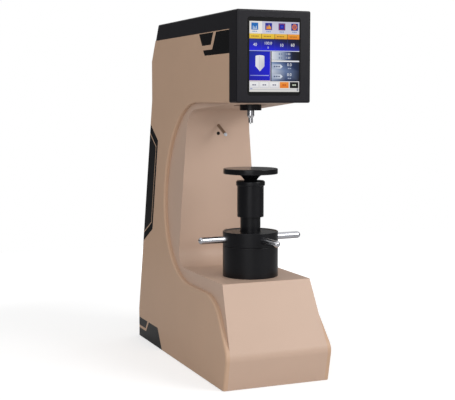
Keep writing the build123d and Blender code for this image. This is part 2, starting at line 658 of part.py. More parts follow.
def roof_cover():
    top = BODY_HEIGHT
    outline = polygon((HEAD_SEAM_Y, ROOF_SEAM_Z), (slant_y(ROOF_SEAM_Z), ROOF_SEAM_Z),
                      (slant_y(top), top), (HEAD_SEAM_Y, top))
    roof = side_solid(outline, -HEAD_WIDTH / 2, HEAD_WIDTH / 2)
    rounded = roof.edges().filter_by_position(Axis.Z, ROOF_SEAM_Z + 1, top)
    rounded = rounded.filter_by_position(Axis.Y, HEAD_SEAM_Y + 1, BODY_LENGTH)
    roof = fillet(rounded, HEAD_EDGE_RADIUS)
    inner = polygon((HEAD_SEAM_Y + ROOF_T, ROOF_SEAM_Z - 1),
                    (slant_y(ROOF_SEAM_Z - 1, ROOF_T), ROOF_SEAM_Z - 1),
                    (slant_y(top - ROOF_T, ROOF_T), top - ROOF_T), (HEAD_SEAM_Y + ROOF_T, top - ROOF_T))
    return roof - side_solid(inner, ROOF_T - HEAD_WIDTH / 2, HEAD_WIDTH / 2 - ROOF_T)


def rounded_plate(width, height, corner, y_from, y_to, z):
    """An upright plate facing the front, with rounded corners."""
    face = Plane.XZ.offset(-y_to) * Pos(0, z) * RectangleRounded(width, height, corner)
    return extrude(face, amount=y_to - y_from)


def head_front_cover():
    middle_z = (HEAD_BOTTOM_Z + BODY_HEIGHT) / 2
    height = BODY_HEIGHT - HEAD_BOTTOM_Z
    shell = box((-HEAD_WIDTH / 2, HEAD_WIDTH / 2), (HEAD_FRONT_Y, HEAD_SEAM_Y),
                (HEAD_BOTTOM_Z, BODY_HEIGHT))
    shell = fillet(shell.edges().filter_by_position(Axis.Y, HEAD_FRONT_Y - 1, HEAD_SEAM_Y - 1),
                   HEAD_EDGE_RADIUS)
    shell -= rounded_plate(HEAD_WIDTH - 2 * HEAD_COVER_T, height - 2 * HEAD_COVER_T,
                           HEAD_EDGE_RADIUS, HEAD_FRONT_Y + HEAD_COVER_T, HEAD_SEAM_Y + 1, middle_z)
    shell -= rounded_plate(GLASS_WIDTH + FREE, GLASS_HEIGHT + FREE, GLASS_CORNER, HEAD_FRONT_Y - 1,
                           HEAD_FRONT_Y + GLASS_T, GLASS_CENTRE_Z)
    shell -= rounded_plate(GLASS_WIDTH - 2 * GLASS_LEDGE, GLASS_HEIGHT - 2 * GLASS_LEDGE,
                           GLASS_CORNER, HEAD_FRONT_Y - 1, HEAD_FRONT_Y + HEAD_COVER_T + 1,
                           GLASS_CENTRE_Z)
    return shell


def touch_glass():
    return rounded_plate(GLASS_WIDTH, GLASS_HEIGHT, GLASS_CORNER, HEAD_FRONT_Y,
                         HEAD_FRONT_Y + GLASS_T, GLASS_CENTRE_Z)


def lcd_panel():
    back = HEAD_FRONT_Y + HEAD_COVER_T
    return rounded_plate(GLASS_WIDTH - PANEL_MARGIN, GLASS_HEIGHT - PANEL_MARGIN, 1, back,
                         back + PANEL_T, GLASS_CENTRE_Z)


def control_board():
    """Circuit board on four standoffs in front of the casting's head."""
    front = HEAD_SEAM_Y - BOARD_STANDOFF - BOARD_T
    board = box((-BOARD_WIDTH / 2, BOARD_WIDTH / 2), (front, front + BOARD_T),
                (GLASS_CENTRE_Z - BOARD_HEIGHT / 2, GLASS_CENTRE_Z + BOARD_HEIGHT / 2))
    for x in (-1, 1):
        for z in (-1, 1):
            board += cylinder_y(x * (BOARD_WIDTH / 2 - 2 * STANDOFF_RADIUS), front + BOARD_T / 2,
                                HEAD_SEAM_Y,
                                GLASS_CENTRE_Z + z * (BOARD_HEIGHT / 2 - 2 * STANDOFF_RADIUS),
                                STANDOFF_RADIUS)
    return board


# ---- Back fittings ----

def framed_socket(x, width, height, depth, wall):
    """A snap-in body with a thin lip outside the back panel and a recess in its face."""
    reach_x = width / 2 - FREE
    reach_z = height / 2 - FREE
    body = box((x - reach_x, x + reach_x), (BODY_LENGTH - depth, BODY_LENGTH),
               (SOCKET_Z - reach_z, SOCKET_Z + reach_z))
    body += box((x - width / 2 - SOCKET_LIP, x + width / 2 + SOCKET_LIP),
                (BODY_LENGTH, BODY_LENGTH + SOCKET_LIP),
                (SOCKET_Z - height / 2 - SOCKET_LIP, SOCKET_Z + height / 2 + SOCKET_LIP))
    return body - box((x - width / 2 + wall, x + width / 2 - wall),
                      (BODY_LENGTH - depth + SOCKET_FLOOR, BODY_LENGTH + SOCKET_LIP + 1),
                      (SOCKET_Z - height / 2 + wall, SOCKET_Z + height / 2 - wall))


def power_inlet():
    """Mains inlet: a recess with three flat pins."""
    inlet = framed_socket(0, INLET_WIDTH, INLET_HEIGHT, INLET_DEPTH, INLET_WALL)
    width, height = INLET_PIN
    for x, rise in INLET_PIN_PLACES:
        z = SOCKET_Z + rise
        inlet += box((x - width / 2, x + width / 2),
                     (BODY_LENGTH - INLET_DEPTH, BODY_LENGTH - PIN_SETBACK),
                     (z - height / 2, z + height / 2))
    return inlet


def data_port():
    port = framed_socket(PORT_X, PORT_WIDTH, PORT_HEIGHT, PORT_DEPTH, SOCKET_WALL)
    width, height = PORT_TONGUE
    return port + box((PORT_X - width / 2, PORT_X + width / 2),
                      (BODY_LENGTH - PORT_DEPTH, BODY_LENGTH - PIN_SETBACK / 2),
                      (SOCKET_Z - height / 2, SOCKET_Z + height / 2))


def rocker_axis_y():
    return BODY_LENGTH - ROCKER_DEPTH / 2


def switch_body():
    """Switch housing with two small bearing holes for the rocker's pins."""
    body = framed_socket(SWITCH_X, SWITCH_WIDTH, SWITCH_HEIGHT, SWITCH_DEPTH, SOCKET_WALL)
    reach = SWITCH_WIDTH / 2 - SOCKET_WALL + ROCKER_PIN_REACH + FREE
    return body - cylinder_x(SWITCH_X - reach, SWITCH_X + reach, rocker_axis_y(), SOCKET_Z,
                             ROCKER_PIN_RADIUS + RUNNING)


def rocker():
    """The rocker, lying in its off position: turned by half its travel."""
    reach = SWITCH_HEIGHT / 2 - SOCKET_WALL - ROCKER_END_GAP
    half = SWITCH_WIDTH / 2 - SOCKET_WALL - FREE
    top = BODY_LENGTH + SOCKET_LIP / 2 - rocker_axis_y()
    floor = top - ROCKER_DEPTH
    profile = polygon((-reach, top), (0, top + ROCKER_CROWN), (reach, top),
                      (reach - ROCKER_TAPER, floor), (ROCKER_TAPER - reach, floor))
    upright = Plane.YZ.offset(-half) * Rot(0, 0, -90) * profile
    piece = extrude(upright, amount=2 * half)
    pins = half + FREE + ROCKER_PIN_REACH
    piece += cylinder_x(-pins, pins, 0, 0, ROCKER_PIN_RADIUS)
    return Pos(SWITCH_X, rocker_axis_y(), SOCKET_Z) * Rot(ROCKER_TILT, 0, 0) * piece


def cover_screws():
    """Pan-head screws of the back panel and the rear door."""
    screws = []
    for x, z in panel_screw_places():
        screw = cylinder_y(x, BODY_LENGTH, BODY_LENGTH + SCREW_HEAD_H, z, SCREW_HEAD_RADIUS)
        screw += cylinder_y(x, BACK_Y, BODY_LENGTH + 1, z, SCREW_SHANK_RADIUS)
        screws.append(screw)
    for x, z in door_screw_places():
        screw = cylinder_y(x, BODY_LENGTH, BODY_LENGTH + SCREW_HEAD_H, z, SCREW_HEAD_RADIUS)
        screw += cylinder_y(x, BACK_Y, BODY_LENGTH + 1, z, SCREW_SHANK_RADIUS)
        screws.append(screw)
    return screws


# ---- Elevating screw, nut, hub ----

def drum_housing():
    """Fixed drum on the platform: a cup round the thrust bearing."""
    top = PLATFORM_Z + DRUM_HEIGHT
    drum = tube(0, AXIS_Y, PLATFORM_Z, top, DRUM_RADIUS, NUT_FLANGE_RADIUS + PASSING)
    floor = tube(0, AXIS_Y, PLATFORM_Z, BEARING_Z, DRUM_RADIUS - 1, NUT_RADIUS + PASSING)
    drum = chamfer(drum.edges().filter_by(GeomType.CIRCLE).sort_by(Axis.Z)[-2:], 0.8)
    return drum + floor


def bearing_race(z):
    """A flat washer with a shallow groove for the balls."""
    washer = tube(0, AXIS_Y, z, z + RACE_T, RACE_RADIUS, NUT_RADIUS + PASSING)
    return washer


def bearing_balls():
    middle = BEARING_Z + RACE_T + BALL_RADIUS
    balls = []
    for index in range(BALL_COUNT):
        angle = 2 * pi * index / BALL_COUNT
        place = Pos(BALL_CIRCLE_RADIUS * cos(angle), AXIS_Y + BALL_CIRCLE_RADIUS * sin(angle), middle)
        balls.append(place * Sphere(BALL_RADIUS - RUNNING))
    return balls


def elevating_nut():
    """Threaded body below, bearing flange, and a thin tube up into the hub."""
    bottom = PLATFORM_Z - NUT_BOTTOM_BELOW
    thread = SCREW_RADIUS + RUNNING
    tube_bore = SLEEVE_TUBE_RADIUS
    return turned((thread, bottom), (NUT_RADIUS, bottom), (NUT_RADIUS, FLANGE_Z),
                  (NUT_FLANGE_RADIUS, FLANGE_Z), (NUT_FLANGE_RADIUS, FLANGE_Z + NUT_FLANGE_T),
                  (NUT_RADIUS, FLANGE_Z + NUT_FLANGE_T), (NUT_RADIUS, NUT_TOP_Z),
                  (tube_bore, NUT_TOP_Z), (tube_bore, FLANGE_Z + 1), (thread, FLANGE_Z + 1))


def capstan_hub():
    """Turned ring over the drum, slightly dished on top, bored for the four bars."""
    bottom = HUB_BOTTOM_Z
    top = bottom + HUB_HEIGHT
    bore = SLEEVE_TUBE_RADIUS
    hub = turned((NUT_RADIUS, bottom), (DRUM_RADIUS, bottom), (DRUM_RADIUS, top - HUB_EDGE),
                 (DRUM_RADIUS - HUB_EDGE, top), (DRUM_RADIUS - 2 * HUB_EDGE, top),
                 (DRUM_RADIUS - 3 * HUB_EDGE, top - HUB_DISH), (bore, top - HUB_DISH),
                 (bore, NUT_TOP_Z), (NUT_RADIUS, NUT_TOP_Z))
    for bar in capstan_bars():
        hub -= bar
    return hub


def capstan_bars():
    bars = []
    middle = HUB_BOTTOM_Z + HUB_HEIGHT / 2
    for index in range(BAR_COUNT):
        straight = BAR_TIP - BAR_RADIUS
        bar = Pos(0, 0, (BAR_ROOT + straight) / 2) * Cylinder(BAR_RADIUS, straight - BAR_ROOT)
        bar += Pos(0, 0, straight) * Sphere(BAR_RADIUS)
        turn = Rot(0, 0, BAR_ANGLE + 360 * index / BAR_COUNT)
        bars.append(Pos(0, AXIS_Y, middle) * turn * Rot(0, 90, 0) * bar)
    return bars


def screw_guide_bush():
    """Flanged bronze bush below the nut; its key keeps the screw from turning."""
    top = PLATFORM_Z - NUT_BOTTOM_BELOW - FREE
    bottom = top - GUIDE_LENGTH
    bush = tube(0, AXIS_Y, bottom, top - FREE, guide_bush_radius(), SCREW_RADIUS + RUNNING)
    key = box((-SCREW_KEYWAY / 2 + RUNNING, SCREW_KEYWAY / 2 - RUNNING),
              (AXIS_Y + SCREW_RADIUS - SCREW_KEYWAY / 2 + RUNNING, AXIS_Y + SCREW_RADIUS + 1),
              (bottom, top - FREE))
    return bush + key


def elevating_screw():
    """Screw with a keyway down its back and a bore in its top for the anvil."""
    top = SLEEVE_TOP_Z - OUTER_SLEEVE_T
    screw = turned((0, SCREW_BOTTOM_Z), (SCREW_RADIUS - 1, SCREW_BOTTOM_Z),
                   (SCREW_RADIUS, SCREW_BOTTOM_Z + 1), (SCREW_RADIUS, top), (0, top))
    screw -= box((-SCREW_KEYWAY / 2, SCREW_KEYWAY / 2),
                 (AXIS_Y + SCREW_RADIUS - SCREW_KEYWAY / 2, AXIS_Y + SCREW_RADIUS + 1),
                 (SCREW_BOTTOM_Z - 1, top - 2 * ANVIL_SPIGOT_LENGTH))
    bore_bottom = SLEEVE_TOP_Z - ANVIL_SPIGOT_LENGTH - FREE
    screw -= cylinder(0, AXIS_Y, bore_bottom, top + 1, ANVIL_SPIGOT_RADIUS + RUNNING)
    return screw


def outer_sleeve():
    """Cap tube over the screw, with a rounded bead round its top."""
    top = SLEEVE_TOP_Z
    bottom = PLATFORM_Z + OUTER_SLEEVE_BOTTOM
    inner = OUTER_SLEEVE_RADIUS - OUTER_SLEEVE_T
    sleeve = turned((inner, bottom), (OUTER_SLEEVE_RADIUS, bottom),
                    (OUTER_SLEEVE_RADIUS, top - BEAD_HEIGHT), (BEAD_RADIUS, top - BEAD_HEIGHT),
                    (BEAD_RADIUS, top), (ANVIL_SPIGOT_RADIUS + RUNNING, top),
                    (ANVIL_SPIGOT_RADIUS + RUNNING, top - OUTER_SLEEVE_T),
                    (inner, top - OUTER_SLEEVE_T))
    bead = [edge for edge in sleeve.edges().filter_by(GeomType.CIRCLE)
            if abs(edge.radius - BEAD_RADIUS) < RUNNING]
    sleeve = fillet([edge for edge in bead if edge.center().Z > top - RUNNING], BEAD_ROUNDING)
    lower = [edge for edge in sleeve.edges().filter_by(GeomType.CIRCLE)
             if abs(edge.radius - BEAD_RADIUS) < RUNNING and edge.center().Z < top - BEAD_HEIGHT + RUNNING]
    return fillet(lower, 0.8 * (BEAD_RADIUS - OUTER_SLEEVE_RADIUS))


def inner_sleeve():
    bottom = PLATFORM_Z + INNER_SLEEVE_BOTTOM
    return tube(0, AXIS_Y, bottom, bottom + INNER_SLEEVE_LENGTH, INNER_SLEEVE_RADIUS,
                INNER_SLEEVE_RADIUS - INNER_SLEEVE_T)


def anvil():
    """Round flat table on a hollow-flared stem, with a spigot in the screw's bore."""
    rim_bottom = ANVIL_TOP_Z - ANVIL_RIM
    stem_top = SLEEVE_TOP_Z + ANVIL_STEM_HEIGHT
    spigot = ANVIL_SPIGOT_RADIUS - RUNNING
    spigot_bottom = SLEEVE_TOP_Z - ANVIL_SPIGOT_LENGTH
    run = ANVIL_FLARE_RADIUS - ANVIL_STEM_RADIUS
    rise = rim_bottom - stem_top
    slope = hypot(run, rise)
    hollow = (ANVIL_STEM_RADIUS + run / 2 - ANVIL_FLARE_SAG * rise / slope,
              stem_top + rise / 2 + ANVIL_FLARE_SAG * run / slope)
    flare = ThreePointArc((ANVIL_STEM_RADIUS, stem_top), hollow, (ANVIL_FLARE_RADIUS, rim_bottom))
    rest = Polyline((ANVIL_FLARE_RADIUS, rim_bottom), (ANVIL_RADIUS, rim_bottom),
                    (ANVIL_RADIUS, ANVIL_TOP_Z), (0, ANVIL_TOP_Z), (0, spigot_bottom),
                    (spigot, spigot_bottom), (spigot, SLEEVE_TOP_Z),
                    (ANVIL_STEM_RADIUS, SLEEVE_TOP_Z), (ANVIL_STEM_RADIUS, stem_top))
    table = Pos(0, AXIS_Y, 0) * revolve(Plane.XZ * make_face([flare, rest]), Axis.Z)
    rim = [edge for edge in table.edges().filter_by(GeomType.CIRCLE)
           if abs(edge.radius - ANVIL_RADIUS) < RUNNING]
    return fillet(rim, ANVIL_EDGE_RADIUS)


# ---- Spindle and indenter ----

def spindle():
    """Shaft with the round collar below, a spring collar between the bushes and a seat on top."""
    spring_z = LOWER_BUSH_Z + BUSH_LENGTH + FREE
    shaft = SPINDLE_RADIUS
    seat_z = SPINDLE_TOP_Z - SPINDLE_SEAT_T
    body = turned((0, COLLAR_BOTTOM_Z), (COLLAR_RADIUS - 1, COLLAR_BOTTOM_Z),
                  (COLLAR_RADIUS, COLLAR_BOTTOM_Z + 1), (COLLAR_RADIUS, COLLAR_TOP_Z - 1),
                  (COLLAR_RADIUS - 1, COLLAR_TOP_Z), (shaft, COLLAR_TOP_Z), (shaft, spring_z),
                  (SPRING_COLLAR_RADIUS, spring_z), (SPRING_COLLAR_RADIUS, spring_z + SPRING_COLLAR_T),
                  (shaft, spring_z + SPRING_COLLAR_T), (shaft, seat_z), (GAUGE_RADIUS, seat_z),
                  (GAUGE_RADIUS, SPINDLE_TOP_Z), (0, SPINDLE_TOP_Z))
    body -= cylinder(0, AXIS_Y, COLLAR_BOTTOM_Z - 1, COLLAR_BOTTOM_Z + INDENTER_SHANK_LENGTH + FREE,
                     INDENTER_SHANK_RADIUS + RUNNING)
    body -= cylinder_y(0, AXIS_Y - COLLAR_RADIUS - 1, AXIS_Y,
                       COLLAR_BOTTOM_Z + COLLAR_HEIGHT / 2, CLAMP_SCREW_RADIUS)
    return body


def clamp_screw():
    """Grub screw in the collar's front, hard against the indenter's shank."""
    z = COLLAR_BOTTOM_Z + COLLAR_HEIGHT / 2
    screw = cylinder_y(0, AXIS_Y - COLLAR_RADIUS + 1, AXIS_Y - INDENTER_SHANK_RADIUS - RUNNING, z,
                       CLAMP_SCREW_RADIUS)
    return screw - cylinder_y(0, AXIS_Y - COLLAR_RADIUS, AXIS_Y - COLLAR_RADIUS + 4, z, 1.25)


def indenter_body():
    bottom = COLLAR_BOTTOM_Z
    shoulder = bottom - INDENTER_SHOULDER
    nose = bottom - INDENTER_LENGTH
    shank = bottom + INDENTER_SHANK_LENGTH
    return turned((0, nose), (INDENTER_NOSE_RADIUS - INDENTER_NOSE_CHAMFER, nose),
                  (INDENTER_NOSE_RADIUS, nose + INDENTER_NOSE_CHAMFER),
                  (INDENTER_NOSE_RADIUS, shoulder - INDENTER_TAPER), (INDENTER_RADIUS, shoulder),
                  (INDENTER_RADIUS, bottom), (INDENTER_SHANK_RADIUS, bottom),
                  (INDENTER_SHANK_RADIUS, shank), (0, shank))


def indenter_tip():
    """The diamond: a 120 degree cone with a small round point."""
    top = COLLAR_BOTTOM_Z - INDENTER_LENGTH
    return turned((0, top - TIP_HEIGHT), (0.25, top - TIP_HEIGHT + 0.05), (TIP_RADIUS, top - 0.6),
                  (TIP_RADIUS, top), (0, top))


def spindle_bushes():
    pieces = []
    for z in (LOWER_BUSH_Z, UPPER_BUSH_Z):
        pieces.append(tube(0, AXIS_Y, z, z + BUSH_LENGTH, BUSH_RADIUS, SPINDLE_RADIUS + RUNNING))
    return pieces


def spindle_spring():
    """Stack of disc springs that keeps the spindle down on its stop, as one zigzag turning."""
    bottom = LOWER_BUSH_Z + BUSH_LENGTH + FREE + SPRING_COLLAR_T
    pitch = (UPPER_BUSH_Z - bottom) / SPRING_DISCS
    inner = SPINDLE_RADIUS + FREE
    line = [(inner + SPRING_WIDTH * (index % 2), bottom + pitch * index)
            for index in range(SPRING_DISCS + 1)]
    outer = [(radius + SPRING_DISC_T, z) for radius, z in reversed(line)]
    return turned(*line, *outer)


def depth_gauge():
    """Ring gauge that measures how far the spindle's seat rises."""
    return tube(0, AXIS_Y, HEAD_BOSS_TOP_Z, SPINDLE_TOP_Z - SPINDLE_SEAT_T - FREE,
                GAUGE_RADIUS, SPINDLE_RADIUS + PASSING)


# ---- Load lever, weights, motor ----

def load_lever():
    """Steel beam on the pivot pin, tapered towards the weight end."""
    front = PIVOT_Y - LEVER_END
    back = CARRIER_Y + LEVER_END
    side = polygon((front, LEVER_BOTTOM_Z), (AXIS_Y + LEVER_HEIGHT, LEVER_BOTTOM_Z),
                   (back, LEVER_BOTTOM_Z), (back, LEVER_TOP_Z - LEVER_HEIGHT / 4),
                   (CARRIER_Y - LEVER_END, LEVER_TOP_Z - LEVER_HEIGHT / 4),
                   (AXIS_Y + 2 * LEVER_HEIGHT, LEVER_TOP_Z), (front, LEVER_TOP_Z))
    lever = side_solid(side, -LEVER_WIDTH / 2, LEVER_WIDTH / 2)
    return lever - cylinder_x(-LEVER_WIDTH, LEVER_WIDTH, PIVOT_Y, PIVOT_Z, PIVOT_RADIUS + RUNNING)


def knife_edge():
    """Hardened wedge under the lever, standing just over the spindle's seat."""
    profile = polygon((AXIS_Y - KNIFE_WIDTH / 2, LEVER_BOTTOM_Z), (AXIS_Y + KNIFE_WIDTH / 2, LEVER_BOTTOM_Z),
                      (AXIS_Y + 0.5, SPINDLE_TOP_Z + FREE), (AXIS_Y - 0.5, SPINDLE_TOP_Z + FREE))
    return side_solid(profile, -LEVER_WIDTH / 2, LEVER_WIDTH / 2)


def lever_pivot_pin():
    reach = LEVER_WIDTH / 2 + FREE + POST_T
    return cylinder_x(-reach, reach, PIVOT_Y, PIVOT_Z, PIVOT_RADIUS)


def weight_carrier():
    """Stirrup over the lever's end, hanging on its cross pin, with a rod and a round plate below."""
    inner = LEVER_WIDTH / 2 + PASSING
    seat_z = LEVER_TOP_Z - LEVER_HEIGHT / 4 + FREE
    bar_z = STIRRUP_BAR_Z
    depth = (CARRIER_Y - STIRRUP_WIDTH / 2, CARRIER_Y + STIRRUP_WIDTH / 2)
    top_z = seat_z + 2 * STIRRUP_PIN_RADIUS
    carrier = cylinder_x(-inner - STIRRUP_T, inner + STIRRUP_T, CARRIER_Y,
                         seat_z + STIRRUP_PIN_RADIUS, STIRRUP_PIN_RADIUS)
    for side in (-1, 1):
        plate = (side * inner, side * (inner + STIRRUP_T))
        carrier += box((min(plate), max(plate)), depth, (bar_z, top_z))
    carrier += box((-inner - STIRRUP_T, inner + STIRRUP_T), depth, (bar_z - STIRRUP_T, bar_z))
    carrier += cylinder(0, CARRIER_Y, CARRIER_BOTTOM_Z, bar_z, CARRIER_ROD_RADIUS)
    return carrier + cylinder(0, CARRIER_Y, CARRIER_BOTTOM_Z, CARRIER_BOTTOM_Z + CARRIER_PLATE_T,
                              CARRIER_PLATE_RADIUS)


def weight(index):
    """A round steel weight with a turned edge; the stack lies on the carrier's plate."""
    bottom = CARRIER_BOTTOM_Z + CARRIER_PLATE_T + sum(WEIGHT_HEIGHTS[:index])
    stack_top = CARRIER_BOTTOM_Z + CARRIER_PLATE_T + sum(WEIGHT_HEIGHTS)
    radius = half_width(stack_top) - COVER_T - CASTING_WALL - WEIGHT_GAP
    disc = cylinder(0, CARRIER_Y, bottom, bottom + WEIGHT_HEIGHTS[index], radius)
    disc = chamfer(disc.edges().filter_by(GeomType.CIRCLE), 1.5)
    return disc - cylinder(0, CARRIER_Y, bottom - 1, bottom + WEIGHT_HEIGHTS[index] + 1,
                           CARRIER_ROD_RADIUS + FREE)


def load_cam():
    """Round eccentric on the motor's shaft, at its high point under the lever."""
    cam = cylinder_x(-CAM_WIDTH / 2, CAM_WIDTH / 2, CAM_Y, CAM_Z + CAM_THROW, CAM_RADIUS)
    return cam + cylinder_x(-CAM_WIDTH / 2 - 2, MOTOR_X + 15, CAM_Y, CAM_Z, CAM_SHAFT_RADIUS)


def load_motor():
    wall_x = half_width(CAM_Z) - COVER_T - CASTING_WALL
    motor = cylinder_x(MOTOR_X, wall_x, CAM_Y, CAM_Z, MOTOR_RADIUS)
    return motor - cylinder_x(MOTOR_X - 1, MOTOR_X + 15 + FREE, CAM_Y, CAM_Z,
                              CAM_SHAFT_RADIUS + RUNNING)


# ---- Work light ----

def light_axis():
    """Axis of the light tube: out of the throat wall, forwards and a little down."""
    forward = Vector(0, -LIGHT_REACH, -LIGHT_DROP)
    return Location(Plane(origin=(0, THROAT_WALL_Y, LIGHT_Z), z_dir=forward))


def work_light_tube():
    length = hypot(LIGHT_REACH, LIGHT_DROP)
    inside = CASTING_WALL
    bare = length - LENS_LENGTH
    body = Pos(0, 0, (bare - inside) / 2) * Cylinder(LIGHT_RADIUS, bare + inside)
    body -= Pos(0, 0, (length - LENS_LENGTH - inside) / 2) * Cylinder(
        LIGHT_RADIUS - LIGHT_T, length - LENS_LENGTH + inside + 1)
    return light_axis() * body


def work_light_lens():
    length = hypot(LIGHT_REACH, LIGHT_DROP)
    lens = Pos(0, 0, length - LENS_LENGTH / 2) * Cylinder(LIGHT_RADIUS, LENS_LENGTH)
    lens = fillet(lens.edges().sort_by(Axis.Z)[-1], LIGHT_RADIUS / 2)
    return light_axis() * lens


def wall_grommet():
    """Round rubber plug in the throat wall, with a dished face."""
    wall = cylinder_y(0, THROAT_WALL_Y, THROAT_WALL_Y + CASTING_WALL, GROMMET_Z, GROMMET_RADIUS)
    return wall - cylinder_y(0, THROAT_WALL_Y - 1, THROAT_WALL_Y + GROMMET_DISH, GROMMET_Z,
                             GROMMET_RADIUS - GROMMET_LIP)


# ---- Base ----

def base_plate():
    front = NOSE_UNDERCUT + 1.5 * CASTING_WALL + FREE
    inside = BODY_WIDTH / 2 - COVER_T - CASTING_WALL - FREE
    plate = box((-inside, inside), (front, BACK_Y - FREE), (SKIRT_Z, SKIRT_Z + PLATE_T))
    for x, y in foot_places():
        plate -= cylinder(x, y, 0, FOOT_BOSS_Z, FOOT_PAD_RADIUS + PASSING)
    return plate - cylinder(0, AXIS_Y, 0, FOOT_BOSS_Z, SCREW_RADIUS + PASSING)


def foot_pad(x, y):
    """Foot with a bevelled edge and a socket for its stud."""
    pad = cylinder(x, y, 0, FOOT_PAD_H, FOOT_PAD_RADIUS)
    pad = chamfer(pad.edges().filter_by(GeomType.CIRCLE).sort_by(Axis.Z)[0], FOOT_PAD_BEVEL)
    return pad - cylinder(x, y, FOOT_PAD_H / 2, FOOT_PAD_H + 1, FOOT_STUD_RADIUS)


def foot_stud(x, y):
    """Stud with a screwdriver slot in its top end."""
    stud = cylinder(x, y, FOOT_PAD_H / 2, FOOT_STUD_TOP_Z, FOOT_STUD_RADIUS)
    return stud - box((x - 1, x + 1), (y - FOOT_STUD_RADIUS, y + FOOT_STUD_RADIUS),
                      (FOOT_STUD_TOP_Z - 3, FOOT_STUD_TOP_Z + 1))


def foot_lock_nuts():
    nuts = []
    for x, y in foot_places():
        bottom = FOOT_BOSS_Z - FOOT_NUT_H
        nut = extrude(Pos(x, y, bottom) * RegularPolygon(FOOT_NUT_RADIUS, 6), amount=FOOT_NUT_H)
        nuts.append(nut - cylinder(x, y, bottom - 1, FOOT_BOSS_Z + 1, FOOT_STUD_RADIUS + RUNNING))
    return nuts


def power_supply():
    """Sheet-metal box on the base plate."""
    width, length, height = SUPPLY_SIZE
    bottom = SKIRT_Z + PLATE_T
    middle = BODY_LENGTH - SUPPLY_FROM_BACK
    case = box((-width / 2, width / 2), (middle - length / 2, middle + length / 2),
               (bottom, bottom + height))
    return chamfer(case.edges().filter_by(Axis.Z), 2)


NODES = {
    "frame_casting": frame_casting(),
    "side_cover_left": side_cover(-1),
    "side_cover_right": side_cover(1),
    "back_panel": back_panel(),
    "rear_trim": rear_trim(),
    "rear_door": rear_door(),
    "roof_cover": roof_cover(),
    "head_front_cover": head_front_cover(),
    "touch_glass": touch_glass(),
    "lcd_panel": lcd_panel(),
    "control_board": control_board(),
    "head_inlays": inlays(head_inlay_outlines(), INLAY_SKIN),
    "base_inlays": inlays(base_inlay_outlines(), INLAY_SKIN),
    "power_inlet": power_inlet(),
    "data_port": data_port(),
    "switch_body": switch_body(),
    "switch_rocker": rocker(),
    "cover_screws": cover_screws(),
    "drum_housing": drum_housing(),
    "bearing_race_lower": bearing_race(BEARING_Z),
    "bearing_balls": bearing_balls(),
    "bearing_race_upper": bearing_race(FLANGE_Z - RACE_T),
    "elevating_nut": elevating_nut(),
    "capstan_hub": capstan_hub(),
    "screw_guide_bush": screw_guide_bush(),
    "elevating_screw": elevating_screw(),
    "screw_sleeve_outer": outer_sleeve(),
    "screw_sleeve_inner": inner_sleeve(),
    "anvil": anvil(),
    "spindle": spindle(),
    "indenter_body": indenter_body(),
    "indenter_tip": indenter_tip(),
    "indenter_clamp_screw": clamp_screw(),
    "spindle_bushes": spindle_bushes(),
    "spindle_spring": spindle_spring(),
    "depth_gauge": depth_gauge(),
    "load_lever": load_lever(),
    "knife_edge": knife_edge(),
    "lever_pivot_pin": lever_pivot_pin(),
    "weight_carrier": weight_carrier(),
    "load_cam": load_cam(),
    "load_motor": load_motor(),
    "work_light_tube": work_light_tube(),
    "work_light_lens": work_light_lens(),
    "wall_grommet": wall_grommet(),
    "base_plate": base_plate(),
    "foot_lock_nuts": foot_lock_nuts(),
    "power_supply": power_supply(),
}
NODES["capstan_bars"] = capstan_bars()
for number in range(len(WEIGHT_HEIGHTS)):
    NODES[f"weight_{number + 1}"] = weight(number)
for number, (foot_x, foot_y) in enumerate(foot_places(), start=1):
    NODES[f"foot_pad_{number}"] = foot_pad(foot_x, foot_y)
    NODES[f"foot_stud_{number}"] = foot_stud(foot_x, foot_y)


def solids_of(piece):
    """All solids of a piece or of a list of pieces."""
    if isinstance(piece, list):
        return [solid for item in piece for solid in item.solids()]
    return list(piece.solids())


os.makedirs("parts", exist_ok=True)
groups = {name: solids_of(piece) for name, piece in NODES.items()}
whole = Compound([solid for solids in groups.values() for solid in solids]).bounding_box()
to_origin = Pos(-(whole.min.X + whole.max.X) / 2, -(whole.min.Y + whole.max.Y) / 2, -whole.min.Z)
for name, solids in groups.items():
    placed = [to_origin * solid for solid in solids]
    node = placed[0] if len(placed) == 1 else Compound(placed)
    node.label = name
    export_step(node, f"parts/{name}.step")
print(f"{len(groups)} nodes, box {whole.size.X:.2f} x {whole.size.Y:.2f} x {whole.size.Z:.2f} mm")
print(f"origin moved by {to_origin.position.X:.3f}, {to_origin.position.Y:.3f}, {to_origin.position.Z:.3f}")
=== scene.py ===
import bpy
import bmesh
import json
from math import cos, hypot, pi, radians, sin, tan
from mathutils import Matrix, Vector

